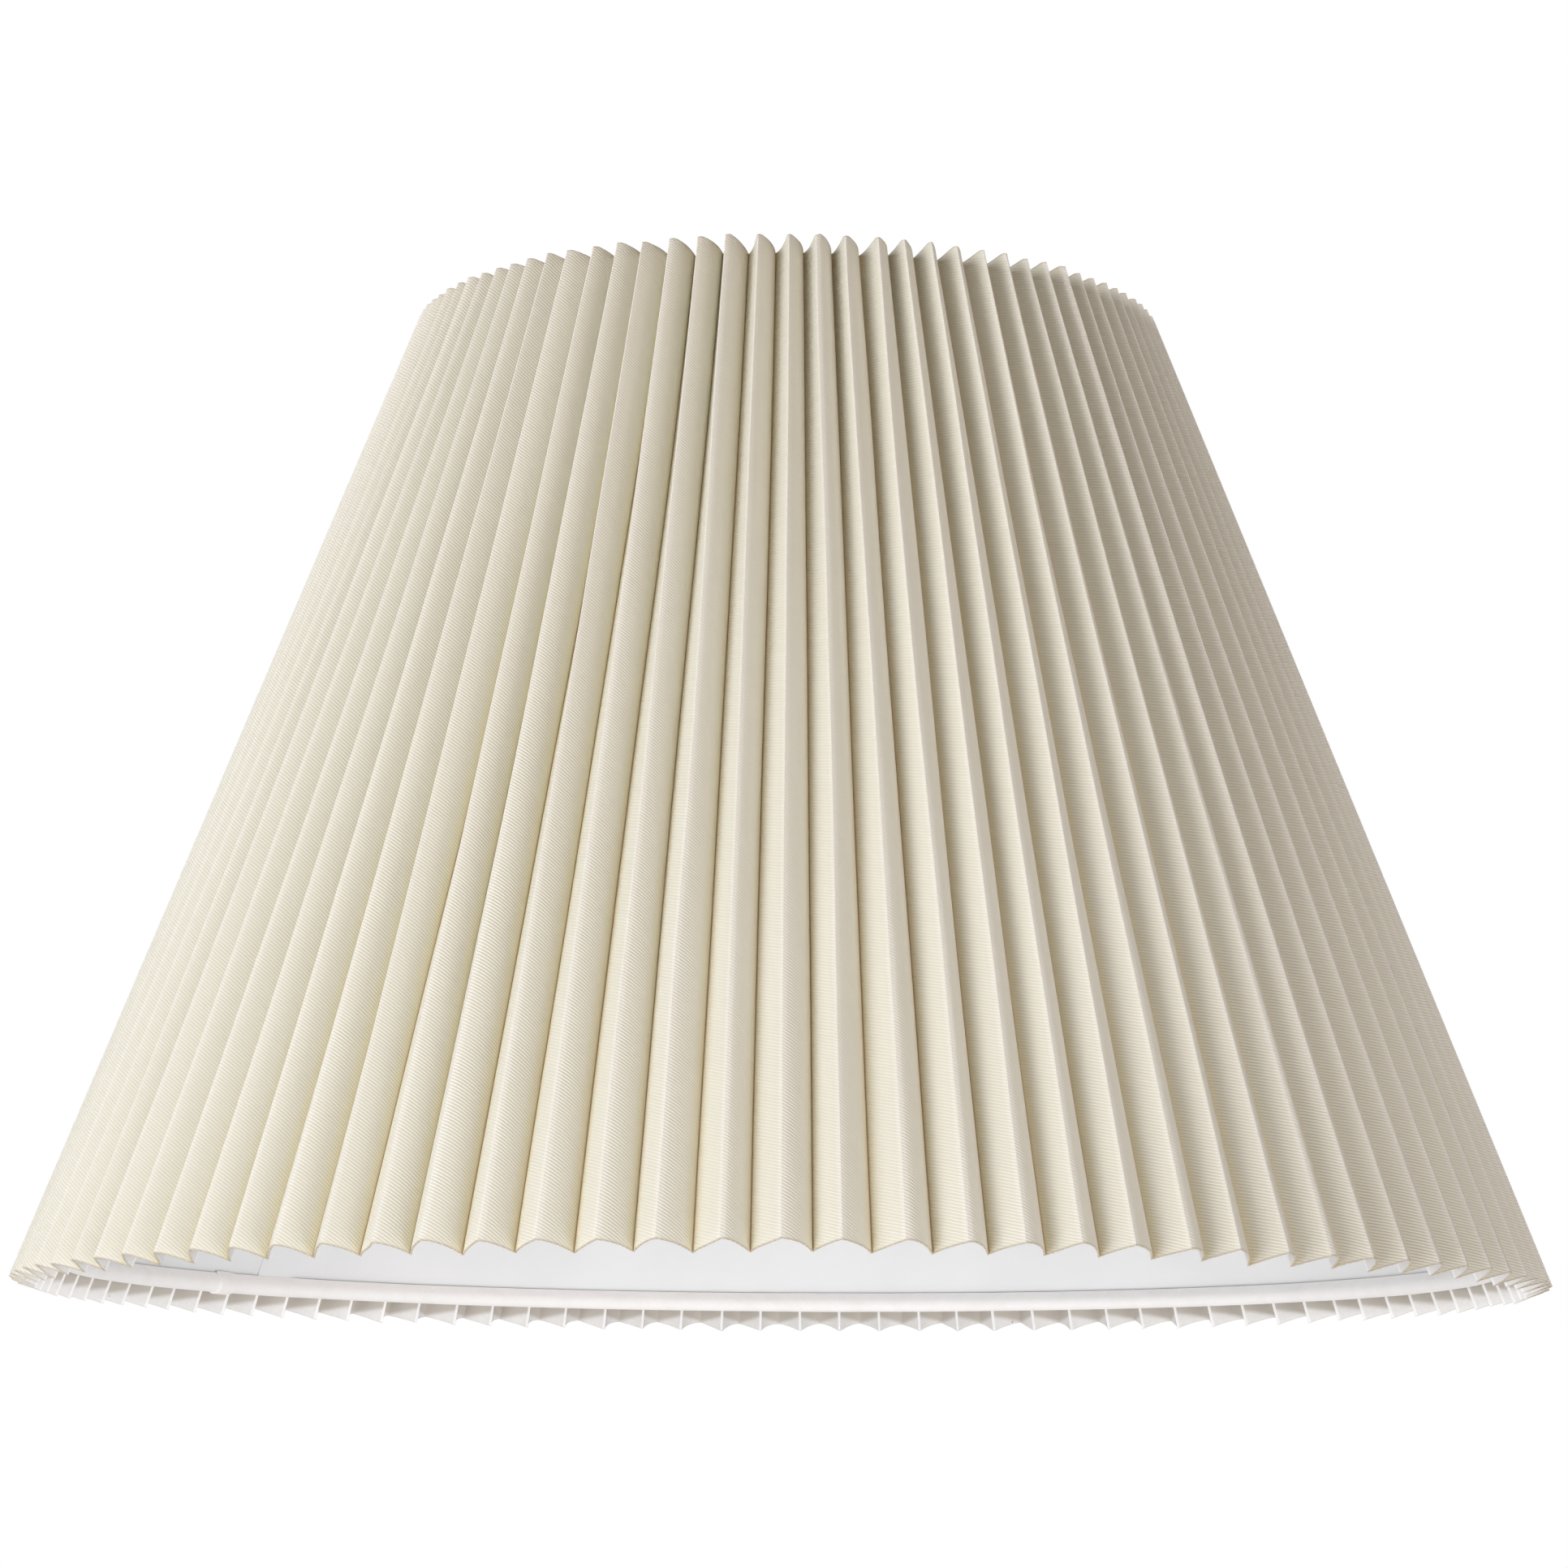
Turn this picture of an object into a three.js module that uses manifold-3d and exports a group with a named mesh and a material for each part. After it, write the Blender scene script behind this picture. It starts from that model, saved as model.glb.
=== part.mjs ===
// A pleated empire lamp shade, in millimetres, +Z up, standing on the tips of its inner folds.
// Azimuth 0 is the front (-Y) and grows towards +X. Azimuths are in radians unless a name says degrees.
//
// The cover is a zigzag of stiff pleats in two lengths, lapped where they meet. It stands on a smooth
// conical liner. A wire ring lies inside each end of the liner, and a soft trim is rolled round the ring
// and the liner's edge. Three arms carry a washer below the top ring, which sits on a lamp's harp.

import * as THREE from "three";
import Module from "manifold-3d";
import { mergeVertices } from "three/addons/utils/BufferGeometryUtils.js";

// Clearance that touching pieces keep.
const FIT_GAP = 0.3;

// Cover, measured on the middle of its cloth.
const CREST_RADIUS_BOTTOM = 203;
const CREST_RADIUS_TOP = 101;
const CREST_RISE = 262;
const PLEAT_COUNT = 96;
const PLEAT_FACE = 9.8;
const COVER_WALL = 0.5;
// How far the folds of each edge are drawn back from the front of the shade, so that its front pleats
// are the widest: at the bottom edge its back pleats are the narrowest, and at the top its side pleats.
const SPREAD_BOTTOM = 0.055;
const SPREAD_TOP = 0.081;

// The two lengths of the cover. Folds are counted from the front crest, two to a pleat, so odd folds
// are inner folds. Each length starts over the end of the other one, on the face past its seam fold.
const SEAM_FOLDS = [-63, 21];
const LAP_START = 3;
const LAP_END = 7;

// Cover cloth that stands past the trim at each end, along the wall.
const OVERHANG_BOTTOM = 7.5;
const OVERHANG_TOP = 7.5;

// Liner.
const LINER_WALL = 0.5;
// How far its edges stop short of the rings' centres.
const LINER_SETBACK = 0.7;
const LINER_SEAM_DEGREES = -129;
// How far its end reaches past its start, and the three runs before that: one in which the corners are
// notched, one in which the sheet steps in, and one at the new radius.
const LINER_LAP = 8;
const LINER_NOTCH_RUN = 2;
const LINER_STEP_RUN = 2;
const LINER_LEAD_RUN = 4;

// Rings and trims.
const RING_WIRE = 2.5;
const TRIM_WALL = 0.6;
const TRIM_LIP_INSIDE = 3;
const TRIM_LIP_OUTSIDE = 4;
const TRIM_SEAM_DEGREES = -123;
// How far its end reaches past its start, and the run in which it is cut down and then stepped in.
const TRIM_LAP = 7;
const TRIM_STEP_RUN = 3.5;

// Spider: arms and the washer that they carry.
const ARM_COUNT = 3;
const ARM_WIRE = 2.5;
const FIRST_ARM_DEGREES = 60;
const ARM_LEVEL_RUN = 22;
const ARM_FOOT_RUN = 14;
// Share of the arm's slope that each of its two bends takes.
const ARM_BEND_SHARE = 0.25;
const HUB_DROP = 13;
const WASHER_RADIUS = 13;
const WASHER_HOLE_RADIUS = 5.5;
const WASHER_WALL = 1.5;

// Facets.
const ROUND_STEPS = 72;
const COVER_ROWS = 6;
const WIRE_SIDES = 8;
const INNER_ROLL_STEPS = 4;
const OUTER_ROLL_STEPS = 6;
const ARM_STEPS = 18;
const WASHER_STEPS = 48;

const RADIANS = Math.PI / 180;
const STEP_ANGLE = (2 * Math.PI) / ROUND_STEPS;
const FOLD_ANGLE = Math.PI / PLEAT_COUNT;

const wasm = await Module();
wasm.setup();

function finish(name, color, roughness, metalness) {
  return new THREE.MeshStandardMaterial({ name, color, roughness, metalness });
}

const cloth = finish("cover_cloth", 0xe6dfca, 0.85, 0);
const styrene = finish("liner_styrene", 0xeceded, 0.5, 0);
const tape = finish("trim_tape", 0xf4f3f1, 0.8, 0);
const steel = finish("zinc_steel", 0xb9bbbd, 0.35, 1);

// ---- Places in space -------------------------------------------------------------------------------

function place(radius, azimuth, z) {
  return new THREE.Vector3(radius * Math.sin(azimuth), -radius * Math.cos(azimuth), z);
}

// The same on the flat facets that every round piece shares, so that pieces keep their gap all round.
function placeOnFacet(radius, azimuth, z) {
  const fromMiddle = THREE.MathUtils.euclideanModulo(azimuth, STEP_ANGLE) - STEP_ANGLE / 2;
  return place((radius * Math.cos(STEP_ANGLE / 2)) / Math.cos(fromMiddle), azimuth, z);
}

// The wall's slope, from its crest line: a unit vector up the wall and one out of it, as (radius, z).
const wallUp = new THREE.Vector2(CREST_RADIUS_TOP - CREST_RADIUS_BOTTOM, CREST_RISE).normalize();
const wallOut = new THREE.Vector2(wallUp.y, -wallUp.x);

// Depth of the pleats, square to the wall, where faces of one width zigzag round a given radius.
function pleatDepth(crestRadius) {
  const halfPitch = (Math.PI * crestRadius) / PLEAT_COUNT;
  return Math.sqrt(PLEAT_FACE ** 2 - halfPitch ** 2);
}

// Half the opening of a fold, which sets how far a mitred fold reaches past the middle of the cloth.
function foldReach(crestRadius) {
  const halfPitch = (Math.PI * crestRadius) / PLEAT_COUNT;
  return (COVER_WALL / 2) * (PLEAT_FACE / halfPitch);
}

const DEPTH_BOTTOM = pleatDepth(CREST_RADIUS_BOTTOM);
const DEPTH_TOP = pleatDepth(CREST_RADIUS_TOP);
const REACH_BOTTOM = foldReach(CREST_RADIUS_BOTTOM);
const REACH_TOP = foldReach(CREST_RADIUS_TOP);

// The inner folds end lowest, and their cloth stands on z = 0.
const CREST_Z_BOTTOM = (DEPTH_BOTTOM + REACH_BOTTOM) * wallOut.y;

const crestLine = {
  bottom: new THREE.Vector2(CREST_RADIUS_BOTTOM, CREST_Z_BOTTOM),
  top: new THREE.Vector2(CREST_RADIUS_TOP, CREST_Z_BOTTOM + CREST_RISE),
};
const innerLine = {
  bottom: crestLine.bottom.clone().addScaledVector(wallOut, -DEPTH_BOTTOM),
  top: crestLine.top.clone().addScaledVector(wallOut, -DEPTH_TOP),
};

// Offsets from a ring's centre, out of the wall.
const RING_RADIUS = RING_WIRE / 2;
const LINER_INSIDE = RING_RADIUS + FIT_GAP;
const LINER_OUTSIDE = LINER_INSIDE + LINER_WALL;
const TRIM_OUTSIDE = LINER_OUTSIDE + FIT_GAP + TRIM_WALL;
const TRIM_OUTER_MIDDLE = TRIM_OUTSIDE - TRIM_WALL / 2;
const TRIM_INNER_MIDDLE = RING_RADIUS + FIT_GAP + TRIM_WALL / 2;
const TRIM_ROUND = (TRIM_OUTER_MIDDLE + TRIM_INNER_MIDDLE) / 2;

// Ring centres, as (radius, z): inside the inner folds, and back from the cover's ends.
const ringCentre = {
  bottom: innerLine.bottom
    .clone()
    .addScaledVector(wallOut, -(REACH_BOTTOM + FIT_GAP + TRIM_OUTSIDE))
    .addScaledVector(wallUp, OVERHANG_BOTTOM + TRIM_ROUND + TRIM_WALL / 2),
  top: innerLine.top
    .clone()
    .addScaledVector(wallOut, -(REACH_TOP + FIT_GAP + TRIM_OUTSIDE))
    .addScaledVector(wallUp, -(OVERHANG_TOP + TRIM_ROUND + TRIM_WALL / 2)),
};

// ---- Solids ----------------------------------------------------------------------------------------

// The outline of a sheet's end that has a number of rows: up one side of the sheet and down the other.
function sheetEnd(rows) {
  const outline = [];
  for (let row = 0; row <= rows; row++) {
    outline.push(new THREE.Vector2(0, row));
  }
  for (let row = rows; row >= 0; row--) {
    outline.push(new THREE.Vector2(1, row));
  }
  return outline;
}

// A closed sheet through a row of sections, with flat ends. Each section is a closed loop of as many
// points: one side of the sheet, then the other side backwards. Both sides are split along the same
// diagonals, so that the sheet keeps its wall where it twists.
function loft(sections, capOutline) {
  const size = sections[0].length;
  const positions = sections.flat().flatMap((point) => point.toArray());
  const faces = [];
  for (let row = 0; row + 1 < sections.length; row++) {
    for (let i = 0; i < size; i++) {
      const a = row * size + i;
      const b = row * size + ((i + 1) % size);
      if (i < size / 2) {
        faces.push(a, b, a + size, b, b + size, a + size);
      } else {
        faces.push(a, b, b + size, a, b + size, a + size);
      }
    }
  }
  const last = (sections.length - 1) * size;
  const isClockwise = THREE.ShapeUtils.isClockWise(capOutline);
  for (const corners of THREE.ShapeUtils.triangulateShape(capOutline, [])) {
    const [i, j, k] = isClockwise ? corners.reverse() : corners;
    faces.push(i, k, j, last + i, last + j, last + k);
  }
  const geometry = new THREE.BufferGeometry();
  geometry.setAttribute("position", new THREE.Float32BufferAttribute(positions, 3));
  geometry.setIndex(faces);
  return facingOut(geometry);
}

function signedVolume(geometry) {
  const index = geometry.index;
  const position = geometry.attributes.position;
  const corners = [new THREE.Vector3(), new THREE.Vector3(), new THREE.Vector3()];
  let volume = 0;
  for (let i = 0; i < index.count; i += 3) {
    corners.forEach((corner, n) => corner.fromBufferAttribute(position, index.getX(i + n)));
    volume += corners[0].dot(corners[1].clone().cross(corners[2])) / 6;
  }
  return volume;
}

function facingOut(geometry) {
  if (signedVolume(geometry) < 0) {
    geometry.index.array.reverse();
  }
  return geometry;
}

function toManifold(geometry) {
  const bare = geometry.clone();
  bare.deleteAttribute("normal");
  bare.deleteAttribute("uv");
  const merged = mergeVertices(bare);
  const vertProperties = new Float32Array(merged.attributes.position.array);
  const triVerts = new Uint32Array(merged.index.array);
  return new wasm.Manifold(new wasm.Mesh({ numProp: 3, vertProperties, triVerts }));
}

function fromManifold(solid) {
  const mesh = solid.getMesh();
  const geometry = new THREE.BufferGeometry();
  geometry.setAttribute("position", new THREE.Float32BufferAttribute(mesh.vertProperties, 3));
  geometry.setIndex(Array.from(mesh.triVerts));
  return geometry;
}

// ---- Cover -----------------------------------------------------------------------------------------

// The ends of a fold, and their shares of its height.
const ENDS = [
  ["bottom", 0],
  ["top", 1],
];

// One fold of the cover: the middle of the cloth at its bottom and top cut edges.
function foldLine(fold) {
  const isCrest = fold % 2 === 0;
  const angle = fold * FOLD_ANGLE;
  const bottomShift = SPREAD_BOTTOM * Math.sin(angle);
  const topShift = (SPREAD_TOP * Math.sin(2 * angle) * (1 + Math.cos(angle))) / 2;
  const bottom = isCrest ? crestLine.bottom : innerLine.bottom;
  const top = isCrest ? crestLine.top : innerLine.top;
  return {
    bottom: place(bottom.x, angle + bottomShift, bottom.y),
    top: place(top.x, angle + topShift, top.y),
  };
}

// A point on a fold, at a share of the way from its bottom to its top.
function pointOn(line, share) {
  return line.bottom.clone().lerp(line.top, share);
}

// Outward normal of the face between two lines, at a share of its height: the faces are slightly twisted.
function faceNormal(line, next, share) {
  const across = pointOn(next, share).sub(pointOn(line, share));
  const up = line.top.clone().sub(line.bottom).add(next.top).sub(next.bottom);
  return across.cross(up).normalize();
}

// A line on the face from one fold to the next, at a distance from the first, lifted off the face.
function lineOnFace(fold, distance, lift) {
  const from = foldLine(fold);
  const to = foldLine(fold + 1);
  const line = {};
  for (const [end, share] of ENDS) {
    const along = to[end].clone().sub(from[end]).normalize();
    line[end] = from[end].clone().addScaledVector(along, distance);
    line[end].addScaledVector(faceNormal(from, to, share), lift);
  }
  return line;
}

// The crest after a lapped face: it moves along its next face until the lapped face clears by a lift.
function liftedCrest(fold, lift) {
  const before = foldLine(fold - 1);
  const line = foldLine(fold);
  const after = foldLine(fold + 1);
  const lifted = {};
  for (const [end, share] of ENDS) {
    const lappedNormal = faceNormal(before, line, share);
    const nextNormal = faceNormal(line, after, share);
    const cosine = lappedNormal.dot(nextNormal);
    const move = lappedNormal.clone().addScaledVector(nextNormal, -cosine);
    lifted[end] = line[end].clone().addScaledVector(move, lift / (1 - cosine ** 2));
  }
  return lifted;
}

// A point of the cloth's surface on one of its folds, to one side of the middle of the cloth. A fold is
// mitred between the faces before and after it, and an end of the cloth has one face only.
function mitredPoint(lines, i, share, side) {
  const before = i > 0 ? faceNormal(lines[i - 1], lines[i], share) : null;
  const after = i + 1 < lines.length ? faceNormal(lines[i], lines[i + 1], share) : null;
  const first = before ?? after;
  const second = after ?? before;
  const mitre = first.clone().add(second);
  return pointOn(lines[i], share).addScaledVector(mitre, side / (1 + first.dot(second)));
}

// A stiff sheet folded along straight lines.
function foldedSheet(lines, wall) {
  const sections = lines.map((_, i) => {
    const section = [];
    for (let row = 0; row <= COVER_ROWS; row++) {
      section.push(mitredPoint(lines, i, row / COVER_ROWS, wall / 2));
    }
    for (let row = COVER_ROWS; row >= 0; row--) {
      section.push(mitredPoint(lines, i, row / COVER_ROWS, -wall / 2));
    }
    return section;
  });
  return loft(sections, sheetEnd(COVER_ROWS));
}

function coverLength(firstFold, lastFold) {
  const lift = COVER_WALL + FIT_GAP;
  const lines = [lineOnFace(firstFold, LAP_START, lift), liftedCrest(firstFold + 1, lift)];
  for (let fold = firstFold + 2; fold <= lastFold; fold++) {
    lines.push(foldLine(fold));
  }
  lines.push(lineOnFace(lastFold, LAP_END, 0));
  return foldedSheet(lines, COVER_WALL);
}

// ---- Liner -----------------------------------------------------------------------------------------

// A sheet rolled into a cone from ring to ring. Its end laps inside its start, with corners notched
// back from the trims.
function linerCone() {
  const linerMiddle = LINER_INSIDE + LINER_WALL / 2;
  const foot = ringCentre.bottom.clone().addScaledVector(wallOut, linerMiddle);
  const head = ringCentre.top.clone().addScaledVector(wallOut, linerMiddle);
  const up = head.clone().sub(foot).normalize();
  foot.addScaledVector(up, LINER_SETBACK);
  head.addScaledVector(up, -LINER_SETBACK);
  const out = new THREE.Vector2(up.y, -up.x);
  const notch = TRIM_LIP_INSIDE + FIT_GAP;
  const seam = LINER_SEAM_DEGREES * RADIANS;

  const half = LINER_WALL / 2;

  // Moved in by an inset, cut back at both ends, and shifted round the cone.
  const section = (azimuth, inset, cut, shift) => {
    const corners = [
      [foot, cut, half],
      [head, -cut, half],
      [head, -cut, -half],
      [foot, cut, -half],
    ];
    return corners.map(([point, along, side]) => {
      const corner = point.clone().addScaledVector(up, along).addScaledVector(out, side - inset);
      return placeOnFacet(corner.x, azimuth + shift / corner.x, corner.y);
    });
  };

  const sections = [];
  for (let i = 0; i < ROUND_STEPS; i++) {
    sections.push(section(seam + i * STEP_ANGLE, 0, 0, 0));
  }
  const inset = LINER_WALL + FIT_GAP;
  const turn = seam + 2 * Math.PI;
  const stepStart = LINER_LEAD_RUN + LINER_STEP_RUN;
  sections.push(section(turn, 0, 0, -stepStart - LINER_NOTCH_RUN));
  sections.push(section(turn, 0, notch, -stepStart));
  sections.push(section(turn, inset, notch, -LINER_LEAD_RUN));
  sections.push(section(turn, inset, notch, LINER_LAP));
  return loft(sections, sheetEnd(1));
}

// ---- Rings and trims -------------------------------------------------------------------------------

function wireRing(centre) {
  const profile = [];
  for (let i = 0; i <= WIRE_SIDES; i++) {
    const angle = (i % WIRE_SIDES) * ((2 * Math.PI) / WIRE_SIDES);
    const corner = new THREE.Vector2(Math.cos(angle), Math.sin(angle));
    profile.push(corner.multiplyScalar(RING_RADIUS).add(centre));
  }
  const geometry = new THREE.LatheGeometry(profile, ROUND_STEPS);
  geometry.rotateX(Math.PI / 2);
  return geometry;
}

// The corners of a polyline that touches an arc from outside. The arc's centre is on the x axis.
function aroundArc(centre, radius, from, to, steps) {
  const half = (to - from) / steps / 2;
  const reach = radius / Math.cos(half);
  return Array.from({ length: steps }, (_, i) => {
    const angle = from + half * (2 * i + 1);
    return new THREE.Vector2(centre + reach * Math.cos(angle), reach * Math.sin(angle));
  });
}

// The middle of the rolled tape round a ring's centre, as (out of the wall, towards the liner): down
// from the lip inside the liner, round the ring by a share of the half turn below it, and a straight tail.
function trimPath(swell, turnShare, tail) {
  const round = TRIM_INNER_MIDDLE + swell;
  const lipOffset = LINER_INSIDE - FIT_GAP - TRIM_WALL / 2 - swell;
  const lipAngle = Math.acos(lipOffset / round);
  const centre = TRIM_OUTER_MIDDLE - TRIM_ROUND;
  const reach = TRIM_ROUND + swell;
  const turnEnd = Math.PI * (1 + turnShare);
  return [
    new THREE.Vector2(lipOffset, TRIM_LIP_INSIDE),
    new THREE.Vector2(lipOffset, round * Math.sin(lipAngle)),
    ...aroundArc(0, round, lipAngle, Math.PI, INNER_ROLL_STEPS),
    ...aroundArc(centre, reach, Math.PI, turnEnd, OUTER_ROLL_STEPS),
    new THREE.Vector2(centre + reach * Math.cos(turnEnd), reach * Math.sin(turnEnd)).add(tail),
  ];
}

// The outline of a tape of one thickness that follows a path.
function tapeOutline(path) {
  const normals = path.slice(1).map((point, i) => {
    const run = point.clone().sub(path[i]);
    return new THREE.Vector2(-run.y, run.x).normalize();
  });
  const left = [];
  const right = [];
  path.forEach((point, i) => {
    const before = normals[Math.max(i - 1, 0)];
    const after = normals[Math.min(i, normals.length - 1)];
    const mitre = before.clone().add(after);
    const reach = TRIM_WALL / 2 / (1 + before.dot(after));
    left.push(point.clone().addScaledVector(mitre, reach));
    right.push(point.clone().addScaledVector(mitre, -reach));
  });
  return [...left, ...right.reverse()];
}

// Tape rolled once round the ring, its end lapped over its start on the inner side only.
function rolledTrim(centre, towardsLiner) {
  const along = wallUp.clone().multiplyScalar(towardsLiner);
  const seam = TRIM_SEAM_DEGREES * RADIANS;
  const whole = tapeOutline(trimPath(0, 1, new THREE.Vector2(0, TRIM_LIP_OUTSIDE)));
  const cropped = tapeOutline(trimPath(0, 1, new THREE.Vector2(0, TRIM_WALL / 2)));
  const lapped = tapeOutline(trimPath(TRIM_WALL + FIT_GAP, 1 / 2, new THREE.Vector2(TRIM_WALL, 0)));

  const section = (outline, azimuth, shift) =>
    outline.map((corner) => {
      const point = centre.clone().addScaledVector(wallOut, corner.x).addScaledVector(along, corner.y);
      return placeOnFacet(point.x, azimuth + shift / centre.x, point.y);
    });

  const sections = [];
  for (let i = 0; i < ROUND_STEPS; i++) {
    sections.push(section(whole, seam + i * STEP_ANGLE, 0));
  }
  const turn = seam + 2 * Math.PI;
  sections.push(section(whole, turn, -2 * TRIM_STEP_RUN));
  sections.push(section(cropped, turn, -TRIM_STEP_RUN));
  sections.push(section(lapped, turn, -FIT_GAP));
  sections.push(section(lapped, turn, TRIM_LAP));
  return loft(sections, whole);
}

// ---- Spider ----------------------------------------------------------------------------------------

const armAzimuths = Array.from(
  { length: ARM_COUNT },
  (_, i) => FIRST_ARM_DEGREES * RADIANS + (i * 2 * Math.PI) / ARM_COUNT,
);

function wireOutline(radius) {
  const points = [];
  for (let i = 0; i < WIRE_SIDES; i++) {
    const angle = ((i + 0.5) * 2 * Math.PI) / WIRE_SIDES;
    points.push(new THREE.Vector2(radius * Math.cos(angle), radius * Math.sin(angle)));
  }
  return new THREE.Shape(points);
}

// From the inside of the top ring, level, down a bend, and level again over the washer.
function spiderArm(azimuth) {
  const ring = ringCentre.top;
  const start = ring.x - RING_RADIUS - FIT_GAP;
  const footZ = ring.y - HUB_DROP;
  const footEnd = (WASHER_RADIUS + WASHER_HOLE_RADIUS) / 2;
  const footStart = footEnd + ARM_FOOT_RUN;
  const levelEnd = start - ARM_LEVEL_RUN;
  const bend = (levelEnd - footStart) * ARM_BEND_SHARE;
  const at = (radius, z) => place(radius, azimuth, z);
  const upperBendStart = at(levelEnd + bend, ring.y);
  const upperCorner = at(levelEnd, ring.y);
  const lowerCorner = at(footStart, footZ);
  const upperBendEnd = upperCorner.clone().lerp(lowerCorner, ARM_BEND_SHARE);
  const lowerBendStart = lowerCorner.clone().lerp(upperCorner, ARM_BEND_SHARE);
  const lowerBendEnd = at(footStart - bend, footZ);
  const route = new THREE.CurvePath();
  route.add(new THREE.LineCurve3(at(start, ring.y), upperBendStart));
  route.add(new THREE.QuadraticBezierCurve3(upperBendStart, upperCorner, upperBendEnd));
  route.add(new THREE.LineCurve3(upperBendEnd, lowerBendStart));
  route.add(new THREE.QuadraticBezierCurve3(lowerBendStart, lowerCorner, lowerBendEnd));
  route.add(new THREE.LineCurve3(lowerBendEnd, at(footEnd, footZ)));
  return new THREE.ExtrudeGeometry(wireOutline(ARM_WIRE / 2), {
    steps: ARM_STEPS,
    bevelEnabled: false,
    extrudePath: route,
  });
}

function fitterWasher() {
  const top = ringCentre.top.y - HUB_DROP - ARM_WIRE / 2 - FIT_GAP;
  const bottom = top - WASHER_WALL;
  const profile = [
    new THREE.Vector2(WASHER_HOLE_RADIUS, bottom),
    new THREE.Vector2(WASHER_RADIUS, bottom),
    new THREE.Vector2(WASHER_RADIUS, top),
    new THREE.Vector2(WASHER_HOLE_RADIUS, top),
    new THREE.Vector2(WASHER_HOLE_RADIUS, bottom),
  ];
  const geometry = new THREE.LatheGeometry(profile, WASHER_STEPS);
  geometry.rotateX(Math.PI / 2);
  return geometry;
}

// The top trim is slit where each arm goes in to its ring. A slit is longer than the trim is thick there,
// and ends in the ring.
function slitForArms(trim) {
  const ring = ringCentre.top;
  const slitRadius = ARM_WIRE / 2 + FIT_GAP;
  const slitLength = 2 * (TRIM_ROUND + TRIM_WALL + TRIM_WALL + FIT_GAP);
  let solid = toManifold(trim);
  for (const azimuth of armAzimuths) {
    const slit = new THREE.CylinderGeometry(slitRadius, slitRadius, slitLength, WIRE_SIDES * 2);
    slit.translate(0, ring.x - slitLength / 2, 0);
    slit.rotateZ(Math.PI + azimuth);
    slit.translate(0, 0, ring.y);
    solid = solid.subtract(toManifold(slit));
  }
  return fromManifold(solid);
}

// ---- Assembly --------------------------------------------------------------------------------------

const shade = new THREE.Group();
shade.name = "lamp_shade";

function add(name, geometry, material) {
  const mesh = new THREE.Mesh(geometry, material);
  mesh.name = name;
  shade.add(mesh);
}

const [leftSeam, rightSeam] = SEAM_FOLDS;
add("cover_front", coverLength(leftSeam, rightSeam), cloth);
add("cover_back", coverLength(rightSeam, leftSeam + 2 * PLEAT_COUNT), cloth);
add("liner", linerCone(), styrene);
add("bottom_ring", wireRing(ringCentre.bottom), steel);
add("top_ring", wireRing(ringCentre.top), steel);
add("bottom_trim", rolledTrim(ringCentre.bottom, 1), tape);
add("top_trim", slitForArms(rolledTrim(ringCentre.top, -1)), tape);
armAzimuths.forEach((azimuth, i) => add(`spider_arm_${i + 1}`, spiderArm(azimuth), steel));
add("fitter_washer", fitterWasher(), steel);

export default shade;
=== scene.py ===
"""Looks of a pleated empire lamp shade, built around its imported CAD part.

Everything is in metres, +Z up. The front of the shade faces -Y, and azimuths start there and grow
towards +X. The cover is a zigzag of stiff pleats in two lengths. It stands on a smooth conical liner,
whose edges are bound to a wire ring at each end by rolled tape. A wire spider inside the top ring
carries a washer.
"""

import logging
import math
from dataclasses import dataclass, field
from enum import Enum

import bpy
import numpy as np
from mathutils import Matrix, Vector


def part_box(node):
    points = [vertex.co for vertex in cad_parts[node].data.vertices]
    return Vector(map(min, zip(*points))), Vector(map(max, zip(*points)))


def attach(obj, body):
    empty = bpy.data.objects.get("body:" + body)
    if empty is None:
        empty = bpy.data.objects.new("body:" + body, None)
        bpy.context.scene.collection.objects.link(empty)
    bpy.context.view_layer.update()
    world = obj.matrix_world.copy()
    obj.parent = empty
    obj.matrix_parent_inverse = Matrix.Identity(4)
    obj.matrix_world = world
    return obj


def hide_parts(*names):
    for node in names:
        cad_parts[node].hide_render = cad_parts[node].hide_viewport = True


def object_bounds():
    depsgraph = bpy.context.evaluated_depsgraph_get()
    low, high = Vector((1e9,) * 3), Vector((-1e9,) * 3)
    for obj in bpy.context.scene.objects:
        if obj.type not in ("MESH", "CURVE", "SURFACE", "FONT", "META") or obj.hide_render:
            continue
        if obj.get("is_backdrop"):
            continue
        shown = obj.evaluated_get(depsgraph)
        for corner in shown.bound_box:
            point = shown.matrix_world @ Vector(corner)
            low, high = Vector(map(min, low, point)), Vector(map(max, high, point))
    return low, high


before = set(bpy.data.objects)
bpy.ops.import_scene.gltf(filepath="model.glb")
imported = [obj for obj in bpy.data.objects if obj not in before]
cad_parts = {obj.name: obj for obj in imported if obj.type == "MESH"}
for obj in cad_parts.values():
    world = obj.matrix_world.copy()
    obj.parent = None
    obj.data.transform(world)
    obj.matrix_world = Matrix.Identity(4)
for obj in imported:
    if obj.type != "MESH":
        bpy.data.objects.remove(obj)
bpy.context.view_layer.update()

log = logging.getLogger("lamp_shade")

MM = 0.001
ROOT = "root"

Colour = tuple[float, float, float, float]
Socket = bpy.types.NodeSocket


# ---- Finishes -------------------------------------------------------------------------------------


class Slot(Enum):
    """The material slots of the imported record."""

    COVER = "cover_cloth"
    LINER = "liner_styrene"
    TAPE = "trim_tape"
    STEEL = "zinc_steel"


def shaded(colour: Colour, *shares: float) -> Colour:
    """A darker colour.

    Args:
        colour: The colour.
        shares: What is left of its red, green and blue, or one share for all three.

    Returns:
        The darker colour.
    """
    each = shares * 3 if len(shares) == 1 else shares
    return tuple(part * share for part, share in zip(colour[:3], each)) + (1.0,)


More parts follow.
